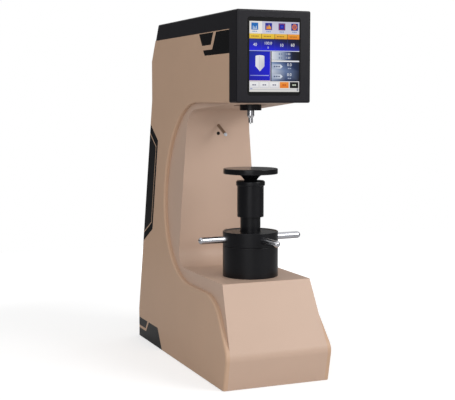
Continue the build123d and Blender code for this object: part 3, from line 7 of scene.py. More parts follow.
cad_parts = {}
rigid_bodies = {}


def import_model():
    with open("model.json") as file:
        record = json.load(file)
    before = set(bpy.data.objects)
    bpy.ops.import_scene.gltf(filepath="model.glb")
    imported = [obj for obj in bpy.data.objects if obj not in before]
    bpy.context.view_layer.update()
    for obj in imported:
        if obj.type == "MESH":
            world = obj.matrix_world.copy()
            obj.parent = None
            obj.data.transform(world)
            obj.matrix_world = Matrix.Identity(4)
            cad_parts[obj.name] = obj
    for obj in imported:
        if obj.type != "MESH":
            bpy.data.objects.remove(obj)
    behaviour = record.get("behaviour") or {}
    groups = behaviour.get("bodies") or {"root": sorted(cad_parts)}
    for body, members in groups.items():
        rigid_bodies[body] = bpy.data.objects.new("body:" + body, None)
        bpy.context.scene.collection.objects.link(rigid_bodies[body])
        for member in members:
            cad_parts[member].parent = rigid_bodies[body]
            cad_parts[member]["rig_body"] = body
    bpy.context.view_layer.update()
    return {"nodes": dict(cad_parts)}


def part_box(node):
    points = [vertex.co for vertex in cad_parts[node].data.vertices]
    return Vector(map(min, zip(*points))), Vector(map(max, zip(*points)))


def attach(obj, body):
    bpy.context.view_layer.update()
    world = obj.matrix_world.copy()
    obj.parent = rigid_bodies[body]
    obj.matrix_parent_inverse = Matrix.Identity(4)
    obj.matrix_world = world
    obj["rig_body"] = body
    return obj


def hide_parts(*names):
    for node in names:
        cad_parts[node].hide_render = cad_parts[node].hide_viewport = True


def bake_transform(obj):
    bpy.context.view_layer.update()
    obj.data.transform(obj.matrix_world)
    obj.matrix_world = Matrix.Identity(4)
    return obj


# A bench hardness tester, in metres: X to the right of someone facing the display, Y from the
# display to the back, Z up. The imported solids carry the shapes. The sections below, in the order
# in which the machine is put together, give each piece its finish and its finer detail.

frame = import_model()
nodes = frame["nodes"]
scene = bpy.context.scene


# ---- Camera ----
# A long lens, 2.2 m from the machine, in front of it and to its left. It is level with the lower
# edge of the head and looks slightly down.

LENS_MM = 82.425
CAMERA_PLACE = (-0.8416, -2.04414, 0.5483)
DEGREES_DOWN = 5.417
DEGREES_TO_RIGHT = 22.44

camera_data = bpy.data.cameras.new("portrait_lens")
camera_data.sensor_width = 36.0
camera_data.lens = LENS_MM
camera = bpy.data.objects.new("camera", camera_data)
camera.location = CAMERA_PLACE
camera.rotation_euler = (radians(90 - DEGREES_DOWN), 0.0, radians(-DEGREES_TO_RIGHT))
scene.collection.objects.link(camera)
scene.camera = camera


# ---- Body casting ----
# Grey iron casting that carries everything: nose, platform, throat wall and arm in one piece.
# It is filled, rubbed down and sprayed with satin beige enamel, which keeps a fine orange peel.

MM = 0.001
SHARP_EDGE = 33.0       # degrees between two faces, from which their edge stays sharp
WELD = 0.002 * MM       # corners of loose triangles closer than this are one corner


def colour(code):
    """Linear colour of an sRGB hex value."""
    parts = [int(code[i:i + 2], 16) / 255 for i in (1, 3, 5)]
    linear = [c / 12.92 if c <= 0.04045 else ((c + 0.055) / 1.055) ** 2.4 for c in parts]
    return (*linear, 1.0)


def add_node(tree, kind, sockets=None, **settings):
    """Adds a node with its settings; a socket takes a value, or a link from another output."""
    new = tree.nodes.new(kind)
    for name, value in settings.items():
        setattr(new, name, value)
    for name, value in (sockets or {}).items():
        if isinstance(value, bpy.types.NodeSocket):
            tree.links.new(value, new.inputs[name])
        else:
            new.inputs[name].default_value = value
    return new


def start_material(name, **sockets):
    """A material with a plain shader; underscores in a socket's name stand for spaces."""
    material = bpy.data.materials.new(name)
    material.use_nodes = True
    tree = material.node_tree
    tree.nodes.clear()
    values = {key.replace("_", " "): value for key, value in sockets.items()}
    shader = add_node(tree, "ShaderNodeBsdfPrincipled", values)
    add_node(tree, "ShaderNodeOutputMaterial", {"Surface": shader.outputs[0]})
    place = add_node(tree, "ShaderNodeTexCoord").outputs["Object"]
    return material, tree, shader, place


def sprayed_enamel(name, code, peel_mm, peel_height_mm, roughness):
    """Satin enamel: a soft sheen, fine orange peel, and a film that varies a little in tone."""
    film_mm, film_change = 90, 0.035
    material, tree, shader, place = start_material(
        name, Roughness=roughness, Specular_IOR_Level=0.35, Coat_Weight=0.06, Coat_Roughness=0.3)
    paint = Vector(colour(code)[:3])
    film = add_node(tree, "ShaderNodeTexNoise",
                    {"Vector": place, "Scale": 1 / (film_mm * MM), "Detail": 3.0})
    tone = add_node(tree, "ShaderNodeMix", {"Factor": film.outputs[0],
                                            6: (*(paint * (1 - film_change)), 1.0),
                                            7: (*(paint * (1 + film_change)), 1.0)}, data_type="RGBA")
    tree.links.new(tone.outputs[2], shader.inputs["Base Color"])
    peel = add_node(tree, "ShaderNodeTexNoise",
                    {"Vector": place, "Scale": 1 / (peel_mm * MM), "Detail": 1.5})
    bump = add_node(tree, "ShaderNodeBump", {"Height": peel.outputs[0], "Strength": 0.35,
                                             "Distance": peel_height_mm * MM})
    tree.links.new(bump.outputs[0], shader.inputs["Normal"])
    tree.links.new(bump.outputs[0], shader.inputs["Coat Normal"])
    return material


def finished_copy(node_name, material, rigid=True):
    """A node's surface with its corners joined and its rounded edges shaded as curves; a piece that
    isn't rigid rides on no body yet."""
    source = nodes[node_name]
    mesh = bmesh.new()
    mesh.from_mesh(source.data)
    bmesh.ops.remove_doubles(mesh, verts=mesh.verts, dist=WELD)
    return place_piece(node_name + "_finished", mesh_data(node_name + "_surface", mesh), material,
                       source["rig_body"] if rigid else None, [node_name])


def mesh_data(name, mesh):
    """Turns a bmesh into mesh data and frees it."""
    data = bpy.data.meshes.new(name)
    mesh.to_mesh(data)
    mesh.free()
    return data


def place_piece(name, data, material, body, replaced=(), sharp=SHARP_EDGE):
    """Shades a mesh, makes it an object of that body and hides the nodes that it stands for."""
    data.materials.clear()
    data.materials.append(material)
    even_shading(data, sharp)
    piece = bpy.data.objects.new(name, data)
    scene.collection.objects.link(piece)
    if body:
        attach(piece, body)
    if replaced:
        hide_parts(*replaced)
    return piece


def even_shading(data, sharp):
    """Turns each corner's normal to the mean, by area, of the faces round it that lie within that
    angle of its own face, so flats stay flat and small roundings blend into them."""
    around = [[] for vertex in data.vertices]
    for face in data.polygons:
        for vertex in face.vertices:
            around[vertex].append((face.normal.copy(), face.area))
    limit = cos(radians(sharp))
    normals = []
    for face in data.polygons:
        for vertex in face.vertices:
            mean = Vector()
            for normal, area in around[vertex]:
                if normal.dot(face.normal) >= limit:
                    mean += normal * area
            normals.append(mean.normalized())
    data.shade_smooth()
    data.normals_split_custom_set(normals)


casting_enamel = sprayed_enamel("beige_enamel_on_cast_iron", "#C2A693", 1.9, 0.12, 0.46)
finished_copy("frame_casting", casting_enamel)


# ---- Side covers ----
# Two C-shaped shells of moulded plastic, one each side, that wrap the casting from the nose to
# the back. They clip on from the side. Their beige is the casting's made a little warmer and
# deeper: painted shade, standing in for the warm shade on the side that faces away from the lamp.

# a warmer, deeper beige than the casting's: painted warm shade of the shaded side, not a second paint
cover_enamel_with_painted_warm_shade = sprayed_enamel("beige_enamel_on_moulded_shell_warmed_as_painted_shade", "#C3A288", 1.6, 0.09, 0.45)
for name in ("side_cover_left", "side_cover_right"):
    finished_copy(name, cover_enamel_with_painted_warm_shade)


# ---- Back panel ----
# Sheet steel over the open back, held by screws at its edge and powder coated in the same beige.
# The coat is a drier and rougher texture than the enamel.

powder_coat = sprayed_enamel("beige_powder_coat_on_sheet", "#C2A28A", 1.1, 0.16, 0.55)
finished_copy("back_panel", powder_coat)


# ---- Black inlays and rear trim ----
# Strips of piano-black acrylic, let into the side covers and wrapped round their rear edges.
# Their polish gives clear reflections, broken only by a slight waviness of the moulding.

def polished_acrylic(name, code, roughness):
    """Black acrylic with a polished face that is not quite flat."""
    wave_mm, wave_height_mm = 30, 0.1
    material, tree, shader, place = start_material(
        name, Base_Color=colour(code), Roughness=roughness, IOR=1.49, Specular_IOR_Level=0.1)
    wave = add_node(tree, "ShaderNodeTexNoise",
                    {"Vector": place, "Scale": 1 / (wave_mm * MM), "Detail": 1.0})
    bump = add_node(tree, "ShaderNodeBump", {"Height": wave.outputs[0], "Strength": 0.15,
                                             "Distance": wave_height_mm * MM})
    tree.links.new(bump.outputs[0], shader.inputs["Normal"])
    return material


black_acrylic = polished_acrylic("piano_black_acrylic", "#0C0C0E", 0.09)
for name in ("head_inlays", "base_inlays", "rear_trim"):
    finished_copy(name, black_acrylic)


# ---- Rear door, roof and head front ----
# Black ABS mouldings with a spark-eroded grain, fine on the head and coarser on the door. The
# grain scatters the light, so they look dark grey beside the polished inlays.

def grained_surface(name, code, grain_mm, grain_height_mm, roughness):
    """A moulding or paint with a fine grain and a slight unevenness of its sheen."""
    cloud_mm, unevenness = 50, 0.04
    material, tree, shader, place = start_material(
        name, Base_Color=colour(code), IOR=1.5, Specular_IOR_Level=0.25)
    grain = add_node(tree, "ShaderNodeTexNoise",
                     {"Vector": place, "Scale": 1 / (grain_mm * MM), "Detail": 2.5, "Roughness": 0.6})
    bump = add_node(tree, "ShaderNodeBump", {"Height": grain.outputs[0], "Strength": 0.5,
                                             "Distance": grain_height_mm * MM})
    tree.links.new(bump.outputs[0], shader.inputs["Normal"])
    cloud = add_node(tree, "ShaderNodeTexNoise",
                     {"Vector": place, "Scale": 1 / (cloud_mm * MM), "Detail": 2.0})
    sheen = add_node(tree, "ShaderNodeMapRange", {"Value": cloud.outputs[0],
                                                  "To Min": roughness - unevenness,
                                                  "To Max": roughness + unevenness})
    tree.links.new(sheen.outputs[0], shader.inputs["Roughness"])
    return material


head_abs = grained_surface("fine_grained_black_abs", "#15141A", 0.9, 0.05, 0.42)
for name in ("roof_cover", "head_front_cover"):
    finished_copy(name, head_abs)
door_abs = grained_surface("coarse_grained_black_abs", "#0B0B0D", 1.5, 0.12, 0.5)
finished_copy("rear_door", door_abs)


# ---- Touch display ----
# One sheet of black glass over a lit panel. The picture is a set of flat coloured tiles, a hair
# in front of the glass: a row of icons, a row of settings, the readings, two panels and the keys.

GLASS_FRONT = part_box("touch_glass")[0].y
PICTURE_LEFT = -51.5 * MM
PICTURE_TOP = 698 * MM
PICTURE_WIDTH = 104 * MM
PICTURE_HEIGHT = 132 * MM
LAYER = 0.03 * MM       # each layer of tiles lies this far before the last


def display_glass():
    """Black glass: nearly smooth, with the faintest smear of fingers in its gloss."""
    smear_mm = 18
    material, tree, shader, place = start_material(
        "black_touch_glass", Base_Color=colour("#060607"), IOR=1.52)
    smear = add_node(tree, "ShaderNodeTexNoise", {"Vector": place, "Scale": 1 / (smear_mm * MM),
                                                  "Detail": 3.0, "Distortion": 0.6})
    sheen = add_node(tree, "ShaderNodeMapRange", {"Value": smear.outputs[0], "From Min": 0.45,
                                                  "To Min": 0.04, "To Max": 0.12})
    tree.links.new(sheen.outputs[0], shader.inputs["Roughness"])
    return material


def lit_picture():
    """Light of the display: each tile glows in its own tint, under a fine grid of pixels."""
    pixel_mm, line_mm, between_pixels, on_pixels = 0.3, 0.03, 0.86, 0.93
    material, tree, shader, place = start_material(
        "lit_picture", Base_Color=colour("#050506"), Roughness=0.08, IOR=1.52)
    tint = add_node(tree, "ShaderNodeAttribute", attribute_name="tint")
    apart = add_node(tree, "ShaderNodeSeparateXYZ", {0: place})
    lines = []
    for axis in (0, 2):
        phase = add_node(tree, "ShaderNodeMath", {0: apart.outputs[axis], 1: pixel_mm / 2 * MM},
                         operation="PINGPONG")
        lines.append(add_node(tree, "ShaderNodeMapRange", {
            "Value": phase.outputs[0], "From Min": 0.0, "From Max": line_mm * MM,
            "To Min": between_pixels, "To Max": on_pixels}))
    grid = add_node(tree, "ShaderNodeMath", {0: lines[0].outputs[0], 1: lines[1].outputs[0]},
                    operation="MULTIPLY")
    tree.links.new(tint.outputs["Color"], shader.inputs["Emission Color"])
    tree.links.new(grid.outputs[0], shader.inputs["Emission Strength"])
    return material


picture = bmesh.new()
picture_tint = picture.loops.layers.float_color.new("tint")


def on_picture(u, v, layer):
    """The place that lies those shares across and down the picture, in that layer."""
    return Vector((PICTURE_LEFT + u * PICTURE_WIDTH, GLASS_FRONT - layer * LAYER,
                   PICTURE_TOP - v * PICTURE_HEIGHT))


def tile(outline, codes, layer=1):
    """A flat shape; outline holds (across, down) shares, codes one tint or one for each corner."""
    corners = [picture.verts.new(on_picture(u, v, layer)) for u, v in outline]
    face = picture.faces.new(corners)
    face.normal_update()
    if face.normal.y > 0:
        face.normal_flip()
    for loop in face.loops:
        place = corners.index(loop.vert)
        loop[picture_tint] = colour(codes if isinstance(codes, str) else codes[place])


def bar(u0, u1, v0, v1, codes, layer=1):
    """A rectangle; its tints go round from the top left."""
    tile([(u0, v0), (u1, v0), (u1, v1), (u0, v1)], codes, layer)


def dashes(count, first, step, width, v0, v1, codes, layer=2):
    """A row of short rectangles, in place of a line of lettering or as bars of an icon."""
    for k in range(count):
        bar(first + k * step, first + k * step + width, v0, v1, codes, layer)


def octagon(u, v, radius, code, layer):
    """A regular eight-sided shape, flat at the top; its radius is a share of the picture's width."""
    tall = PICTURE_WIDTH / PICTURE_HEIGHT
    angles = [pi * k / 4 + pi / 8 for k in range(8)]
    tile([(u + radius * cos(angle), v + radius * tall * sin(angle)) for angle in angles], code, layer)


def figures(text, u, v, height, code, layer=2):
    """Plain figures as flat shapes; height is a share of the picture's height."""
    size_of_height = 1.35
    curve = bpy.data.curves.new("figures", "FONT")
    curve.body = text
    curve.size = height * PICTURE_HEIGHT * size_of_height
    curve.align_x = "CENTER"
    curve.align_y = "CENTER"
    curve.resolution_u = 3
    item = bpy.data.objects.new("figures", curve)
    scene.collection.objects.link(item)
    view = bpy.context.evaluated_depsgraph_get()
    flat = bpy.data.meshes.new_from_object(item.evaluated_get(view), depsgraph=view)
    flat.transform(Matrix.Translation(on_picture(u, v, layer)) @ Matrix.Rotation(pi / 2, 4, "X"))
    before = len(picture.faces)
    picture.from_mesh(flat)
    picture.faces.ensure_lookup_table()
    for face in picture.faces[before:]:
        for loop in face.loops:
            loop[picture_tint] = colour(code)
    bpy.data.objects.remove(item)


# Four icons over their labels: a chart, a flame, a frame and a crossed-out octagon.
bar(0, 0.25, 0, 0.175, ("#E9E6E2", "#F4F2F0", "#F2F0EE", "#E9E7E4"))
bar(0.25, 1, 0, 0.175, ("#CFCEE2", "#C3C2D8", "#D4D3E4", "#D9D8E8"))
for place, code in ((0.105, "#1F6FBE"), (0.380, "#16249A"), (0.645, "#1B1FA2"), (0.902, "#1A2488")):
    bar(place - 0.068, place + 0.068, 0.022, 0.122, code, 2)
    dashes(3, place - 0.045, 0.032, 0.022, 0.138, 0.152, "#5B8CC8")
for left, top in ((0.066, 0.066), (0.098, 0.078), (0.130, 0.066)):
    bar(left, left + 0.014, top, 0.106, "#BFD6EE", 3)
bar(0.062, 0.150, 0.100, 0.108, "#DCE9F6", 4)
tile([(0.330, 0.110), (0.345, 0.052), (0.368, 0.088), (0.388, 0.040), (0.407, 0.082), (0.420, 0.062),
      (0.433, 0.110)], ("#F07E22", "#F4A62E", "#F2902A", "#F6D040", "#F4B434", "#F49A2C", "#F08426"), 3)
for left, right, above, below in ((0.585, 0.705, 0.028, 0.036), (0.585, 0.705, 0.108, 0.116),
                                  (0.585, 0.597, 0.036, 0.108), (0.693, 0.705, 0.036, 0.108)):
    bar(left, right, above, below, "#A2402E", 3)
bar(0.622, 0.668, 0.058, 0.086, "#3C44C8", 3)
octagon(0.902, 0.072, 0.055, "#EE8128", 3)
for middle in (0.878, 0.902, 0.926):
    for top, foot, layer in ((0.099, 0.045, 5), (0.045, 0.099, 4)):
        tile([(middle - 0.034, top), (middle - 0.026, top), (middle + 0.034, foot),
              (middle + 0.026, foot)], "#1A2488", layer)

# Four yellow cells with a label each.
cells = ((0.0, 0.236, "#F3D04A", "#ECC238"), (0.244, 0.499, "#F3CC44", "#EEC034"),
         (0.507, 0.756, "#F2C244", "#EEA832"), (0.764, 1.0, "#F8A63A", "#F18A22"))
for left, right, above, below in cells:
    bar(left, right, 0.176, 0.246, (above, above, below, below))
    dashes(5, left + 0.040, 0.030, 0.020, 0.205, 0.219, "#8A5A22")

# The readings on a dark blue band, and a pale line under them.
bar(0, 0.52, 0.248, 0.330, ("#22348E", "#0E1650", "#10189A", "#1A1EC0"))
bar(0.52, 1, 0.248, 0.330, ("#0E1650", "#06070C", "#0A0C34", "#10189A"))
bar(0, 0.52, 0.330, 0.412, ("#1A1EC0", "#10189A", "#1A1EE2", "#2222EC"))
bar(0.52, 1, 0.330, 0.412, ("#10189A", "#0A0C34", "#2026A0", "#1A1EE2"))
figures("40", 0.110, 0.332, 0.046, "#F4F6FF")
figures("100.0", 0.370, 0.310, 0.042, "#F4F6FF")
figures("0", 0.370, 0.372, 0.030, "#DCE2FF")
figures("10", 0.640, 0.336, 0.046, "#F4F6FF")
figures("60", 0.865, 0.330, 0.046, "#FFFFFF")
for place in (0.24, 0.503, 0.76):
    bar(place - 0.002, place + 0.002, 0.256, 0.404, "#39479E", 2)
bar(0, 1, 0.412, 0.422, ("#A9B2EA", "#E6E8F4", "#D8DCF0", "#8E98DE"))

# The left panel, blue, with the outline of an indenter.
bar(0, 0.412, 0.424, 0.640, ("#0C2A8E", "#1018C4", "#1212DE", "#0E16B8"))
bar(0, 0.412, 0.640, 0.838, ("#0E16B8", "#1212DE", "#1414C8", "#1010A2"))
bar(0.412, 0.420, 0.424, 0.846, "#D8CBE0")
bar(0, 0.420, 0.838, 0.846, "#E2C8D2")
tile([(0.120, 0.492), (0.150, 0.483), (0.209, 0.479), (0.268, 0.483), (0.298, 0.492), (0.298, 0.636),
      (0.209, 0.708), (0.120, 0.636)],
     ("#E2E2EA", "#F2F2F6", "#FBFBFD", "#F0F0F4", "#D6D6E0", "#C9C9D6", "#E6E6EE", "#EFEFF4"), 2)
bar(0.196, 0.204, 0.486, 0.690, ("#D2D2DC", "#D2D2DC", "#C2C2D0", "#C2C2D0"), 3)
bar(0.018, 0.388, 0.762, 0.773, ("#8A92E0", "#B9BEEE", "#A4AAE6", "#7A82D6"), 2)

# The right panel, from pale to nearly black: two rows of settings, then two arrows.
shades = ("#E4E8EE", "#B4C0D4", "#3A5080", "#0F1830", "#06080E")
steps = (0.440, 0.603, 0.759, 0.868, 1.0)
for left, right, pale, dark in zip(steps, steps[1:], shades, shades[1:]):
    bar(left, right, 0.424, 0.545, (pale, dark, dark, pale))
for v in (0.458, 0.512):
    dashes(2, 0.585, 0.045, 0.027, v - 0.014, v + 0.014, ("#7F8CA8", "#8E9AB4", "#7F8CA8", "#6C7A98"))
    figures("1.50", 0.770, v, 0.032, "#F4F6FA")
bar(0.440, 1, 0.550, 0.570, ("#FFFFFF", "#E4E6F2", "#EEF0F8", "#FFFFFF"))
bar(0.440, 0.72, 0.574, 0.700, ("#8CA0C4", "#2A4170", "#6C80A8", "#C9D2E2"))
bar(0.72, 1, 0.574, 0.700, ("#2A4170", "#0D1A33", "#0F1C3A", "#6C80A8"))
bar(0.440, 0.72, 0.700, 0.843, ("#C9D2E2", "#6C80A8", "#2C3C66", "#8A9ABA"))
bar(0.72, 1, 0.700, 0.843, ("#6C80A8", "#0F1C3A", "#070D1C", "#2C3C66"))
for v in (0.638, 0.780):
    tile([(0.452, v - 0.030), (0.626, v - 0.030), (0.664, v), (0.626, v + 0.030), (0.452, v + 0.030)],
         ("#B6C2D8", "#D2DAE8", "#E2E8F2", "#C4CEDF", "#A2B0CA"), 2)
    dashes(3, 0.486, 0.046, 0.030, v - 0.010, v + 0.010, "#4A587C", 3)
    figures("0.0", 0.800, v - 0.026, 0.044, "#F6F8FF")
    bar(0.770, 0.800, v + 0.018, v + 0.032, "#AEB9D2", 2)
    bar(0.808, 0.834, v + 0.018, v + 0.032, "#AEB9D2", 2)

# Five keys, white but for an orange and a black one, over a status line.
bar(0, 1, 0.848, 1.0, ("#EEEDEF", "#EDEBEE", "#E0DFDA", "#E6E4DE"))
white_key = ("#CBCAD4", "#FAFAFA", "#E6E6EA", "#6A6A86")
orange_key = ("#F6993E", "#F6993E", "#EC7C1E", "#C24A12")
black_key = ("#0E1210", "#0E1210", "#050706", "#DDE8D2")
keys = ((0.010, 0.180, white_key), (0.212, 0.380, white_key), (0.412, 0.580, white_key),
        (0.612, 0.785, orange_key), (0.815, 0.982, black_key))
for left, right, (edge, above, below, mark) in keys:
    bar(left - 0.004, right + 0.004, 0.858, 0.946, edge, 2)
    bar(left, right, 0.863, 0.940, (above, above, below, below), 3)
    dashes(2, left + 0.050, 0.040, 0.030, 0.892, 0.910, mark, 4)
bar(0, 1, 0.966, 0.973, "#B9BAC6", 2)
bar(0.012, 0.060, 0.952, 0.960, "#5E79C8", 2)
bar(0.955, 0.980, 0.950, 0.990, "#8C8F9A", 3)

finished_copy("touch_glass", display_glass())
place_piece("display_picture", mesh_data("display_picture", picture), lit_picture(), "frame",
            ["lcd_panel"], 180.0)
solder_mask = grained_surface("green_solder_mask", "#1C5A34", 0.8, 0.02, 0.30)
finished_copy("control_board", solder_mask)


# ---- Sockets and switch ----
# Snap-in mains inlet, data port and rocker switch of black nylon. The pins of the inlet are
# nickel-plated brass, and the rocker carries the usual white line and ring.

NYLON = "#161618"
socket_nylon = grained_surface("moulded_black_nylon", NYLON, 0.7, 0.02, 0.38)


def middle_of(node_name):
    """The middle of a node's box."""
    low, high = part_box(node_name)
    return (low + high) / 2


def two_part_nylon(name, second_code, second_metallic, build_mask):
    """Black nylon with a second finish where build_mask(tree, place) gives 1."""
    material, tree, shader, place = start_material(name, Roughness=0.36, IOR=1.5)
    mask = build_mask(tree, place)
    tint = add_node(tree, "ShaderNodeMix", {0: mask, 6: colour(NYLON), 7: colour(second_code)},
                    data_type="RGBA")
    tree.links.new(tint.outputs[2], shader.inputs["Base Color"])
    metal = add_node(tree, "ShaderNodeMath", {0: mask, 1: second_metallic}, operation="MULTIPLY")
    tree.links.new(metal.outputs[0], shader.inputs["Metallic"])
    return material


def pin_mask(tree, place):
    """1 on the faces that were marked as pins."""
    return add_node(tree, "ShaderNodeAttribute", attribute_name="pin").outputs["Fac"]


def rocker_print(tree, place):
    """1 inside a line above the switch's middle and a ring below it, seen square to the back."""
    mark_offset, line_half_width, line_half_height = 6 * MM, 0.5 * MM, 2.7 * MM
    ring_radius, ring_half_width = 2.3 * MM, 0.45 * MM
    middle = middle_of("switch_body")
    flat = add_node(tree, "ShaderNodeVectorMath", {0: place, 1: (1.0, 0.0, 1.0)}, operation="MULTIPLY")
    offset = add_node(tree, "ShaderNodeVectorMath",
                      {0: flat.outputs[0], 1: (middle.x, 0.0, middle.z + mark_offset)},
                      operation="SUBTRACT")
    share = add_node(tree, "ShaderNodeVectorMath",
                     {0: offset.outputs[0], 1: (1 / line_half_width, 0.0, 1 / line_half_height)},
                     operation="MULTIPLY")
    size = add_node(tree, "ShaderNodeVectorMath", {0: share.outputs[0]}, operation="ABSOLUTE")
    parts = add_node(tree, "ShaderNodeSeparateXYZ", {0: size.outputs[0]})
    widest = add_node(tree, "ShaderNodeMath", {0: parts.outputs[0], 1: parts.outputs[2]},
                      operation="MAXIMUM")
    line = add_node(tree, "ShaderNodeMath", {0: widest.outputs[0], 1: 1.0}, operation="LESS_THAN")
    reach = add_node(tree, "ShaderNodeVectorMath",
                     {0: flat.outputs[0], 1: (middle.x, 0.0, middle.z - mark_offset)},
                     operation="DISTANCE")
    ring = add_node(tree, "ShaderNodeMath", {0: reach.outputs["Value"], 1: ring_radius,
                                             2: ring_half_width}, operation="COMPARE")
    return add_node(tree, "ShaderNodeMath", {0: line.outputs[0], 1: ring.outputs[0]},
                    operation="MAXIMUM").outputs[0]


def mark_pins(inlet):
    """Marks the faces of the three pins, which stand on the floor of the inlet."""
    pin_half_width, pin_half_height, inlet_depth, clear = 1.02 * MM, 2.02 * MM, 21 * MM, 0.2 * MM
    pins = ((0.0, 3 * MM), (-7 * MM, -3 * MM), (7 * MM, -3 * MM))
    middle = middle_of("power_inlet")
    inlet_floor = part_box("power_inlet")[1].y - inlet_depth
    mark = inlet.data.attributes.new("pin", "FLOAT", "FACE")
    for face in inlet.data.polygons:
        place = face.center - middle
        mark.data[face.index].value = float(face.center.y > inlet_floor + clear and any(
            abs(place.x - x) < pin_half_width and abs(place.z - z) < pin_half_height for x, z in pins))


for name in ("switch_body", "data_port"):
    finished_copy(name, socket_nylon)
printed_nylon = two_part_nylon("printed_black_nylon", "#E6E6E4", 0.0, rocker_print)
finished_copy("switch_rocker", printed_nylon)
pinned_nylon = two_part_nylon("nylon_with_nickel_pins", "#D8D2C6", 1.0, pin_mask)
mark_pins(finished_copy("power_inlet", pinned_nylon))


# ---- Cover screws ----
# Pan-head screws with a cross recess, zinc plated, that hold the back panel and the door. One
# screw is turned and its recess pressed in, and a node tree sets it at each of the holes.

def plated_metal(name, code, roughness, scuff_mm, scuff):
    """Bare or plated metal whose sheen varies with fine scuffs of a given size."""
    scuff_height_mm = 0.02
    material, tree, shader, place = start_material(name, Base_Color=colour(code), Metallic=1.0)
    mark = add_node(tree, "ShaderNodeTexNoise",
                    {"Vector": place, "Scale": 1 / (scuff_mm * MM), "Detail": 4.0})
    sheen = add_node(tree, "ShaderNodeMapRange", {"Value": mark.outputs[0], "To Min": roughness - scuff,
                                                  "To Max": roughness + scuff})
    tree.links.new(sheen.outputs[0], shader.inputs["Roughness"])
    bump = add_node(tree, "ShaderNodeBump", {"Height": mark.outputs[0], "Strength": 0.2,
                                             "Distance": scuff_height_mm * MM})
    tree.links.new(bump.outputs[0], shader.inputs["Normal"])
    return material


def bake_modifiers(piece):
    """Makes the evaluated shape the piece's own mesh and takes its modifiers away."""
    view = bpy.context.evaluated_depsgraph_get()
    baked = bpy.data.meshes.new_from_object(piece.evaluated_get(view), depsgraph=view)
    piece.modifiers.clear()
    piece.data = baked


def ring_mesh(profile, segments=96, centre=(0.0, 0.0)):
    """A turned mesh about the upright through centre; profile is (radius, height) in mm."""
    mesh = bmesh.new()
    rows = []
    for radius, height in profile:
        places = segments if radius > 0 else 1
        rows.append([mesh.verts.new((centre[0] + radius * MM * cos(2 * pi * k / segments),
                                     centre[1] + radius * MM * sin(2 * pi * k / segments),
                                     height * MM)) for k in range(places)])
    for low, high in zip(rows, rows[1:]):
        for k in range(segments):
            after = (k + 1) % segments
            corners = [low[k % len(low)], low[after % len(low)],
                       high[after % len(high)], high[k % len(high)]]
            distinct = list(dict.fromkeys(corners))
            if len(distinct) > 2:
                mesh.faces.new(distinct)
    if profile[0] == profile[-1]:
        bmesh.ops.remove_doubles(mesh, verts=mesh.verts, dist=WELD / 20)
    bmesh.ops.recalc_face_normals(mesh, faces=mesh.faces)
    return mesh


def soft_profile(*corners, steps=4):
    """A turning profile whose corners (radius, height, rounding) are rounded off, in mm."""
    line = []
    for index, (radius, height, rounding) in enumerate(corners):
        here = Vector((radius, height))
        if rounding <= 0 or index in (0, len(corners) - 1):
            line.append((radius, height))
            continue
        before = Vector(corners[index - 1][:2]) - here
        after = Vector(corners[index + 1][:2]) - here
        turn = before.angle(after)
        run = min(rounding / tan(turn / 2), before.length * 0.49, after.length * 0.49)
        start = here + before.normalized() * run
        end = here + after.normalized() * run
        for step in range(steps + 1):
            t = step / steps
            point = start * (1 - t) ** 2 + here * 2 * t * (1 - t) + end * t ** 2
            line.append((point.x, point.y))
    return line


def repeat_tree(name):
    """A node tree that sets a piece at every point, turned by the point's own 'turn'."""
    tree = bpy.data.node_groups.new(name, "GeometryNodeTree")
    tree.interface.new_socket("Places", in_out="INPUT", socket_type="NodeSocketGeometry")
    tree.interface.new_socket("Piece", in_out="INPUT", socket_type="NodeSocketObject")
    tree.interface.new_socket("Size", in_out="INPUT", socket_type="NodeSocketFloat")
    tree.interface.new_socket("Finish", in_out="INPUT", socket_type="NodeSocketMaterial")
    tree.interface.new_socket("Result", in_out="OUTPUT", socket_type="NodeSocketGeometry")
    given = add_node(tree, "NodeGroupInput").outputs
    piece = add_node(tree, "GeometryNodeObjectInfo", {"Object": given["Piece"]})
    turn = add_node(tree, "GeometryNodeInputNamedAttribute", {"Name": "turn"},
                    data_type="FLOAT_VECTOR")
    points = add_node(tree, "GeometryNodeMeshToPoints", {"Mesh": given["Places"]})
    copies = add_node(tree, "GeometryNodeInstanceOnPoints",
                      {"Points": points.outputs[0], "Instance": piece.outputs["Geometry"],
                       "Rotation": turn.outputs["Attribute"], "Scale": given["Size"]})
    real = add_node(tree, "GeometryNodeRealizeInstances", {"Geometry": copies.outputs[0]})
    coated = add_node(tree, "GeometryNodeSetMaterial",
                      {"Geometry": real.outputs[0], "Material": given["Finish"]})
    add_node(tree, "NodeGroupOutput", {"Result": coated.outputs[0]})
    return tree


def repeat_piece(tree, name, places, mesh, material, body, replaced, sharp=SHARP_EDGE):
    """Sets one piece's mesh at places, a list of (position, turn), as one plain mesh."""
    one = bpy.data.objects.new(name + "_one", mesh_data(name + "_one", mesh))
    data = bpy.data.meshes.new(name + "_places")
    data.from_pydata([position for position, turn in places], [], [])
    turns = data.attributes.new("turn", "FLOAT_VECTOR", "POINT")
    turns.data.foreach_set("vector", [part for position, turn in places for part in turn])
    carrier = bpy.data.objects.new(name + "_carrier", data)
    scene.collection.objects.link(one)
    scene.collection.objects.link(carrier)
    modifier = carrier.modifiers.new("repeat", "NODES")
    modifier.node_group = tree
    values = {"Piece": one, "Size": 1.0, "Finish": material}
    for item in tree.interface.items_tree:
        if item.in_out == "INPUT" and item.name in values:
            modifier[item.identifier] = values[item.name]
    bake_modifiers(carrier)
    result = carrier.data.copy()
    bpy.data.objects.remove(carrier)
    bpy.data.objects.remove(one)
    if "turn" in result.attributes:
        result.attributes.remove(result.attributes["turn"])
    return place_piece(name, result, material, body, replaced, sharp)


SCREW_HEAD_HEIGHT = 2.4


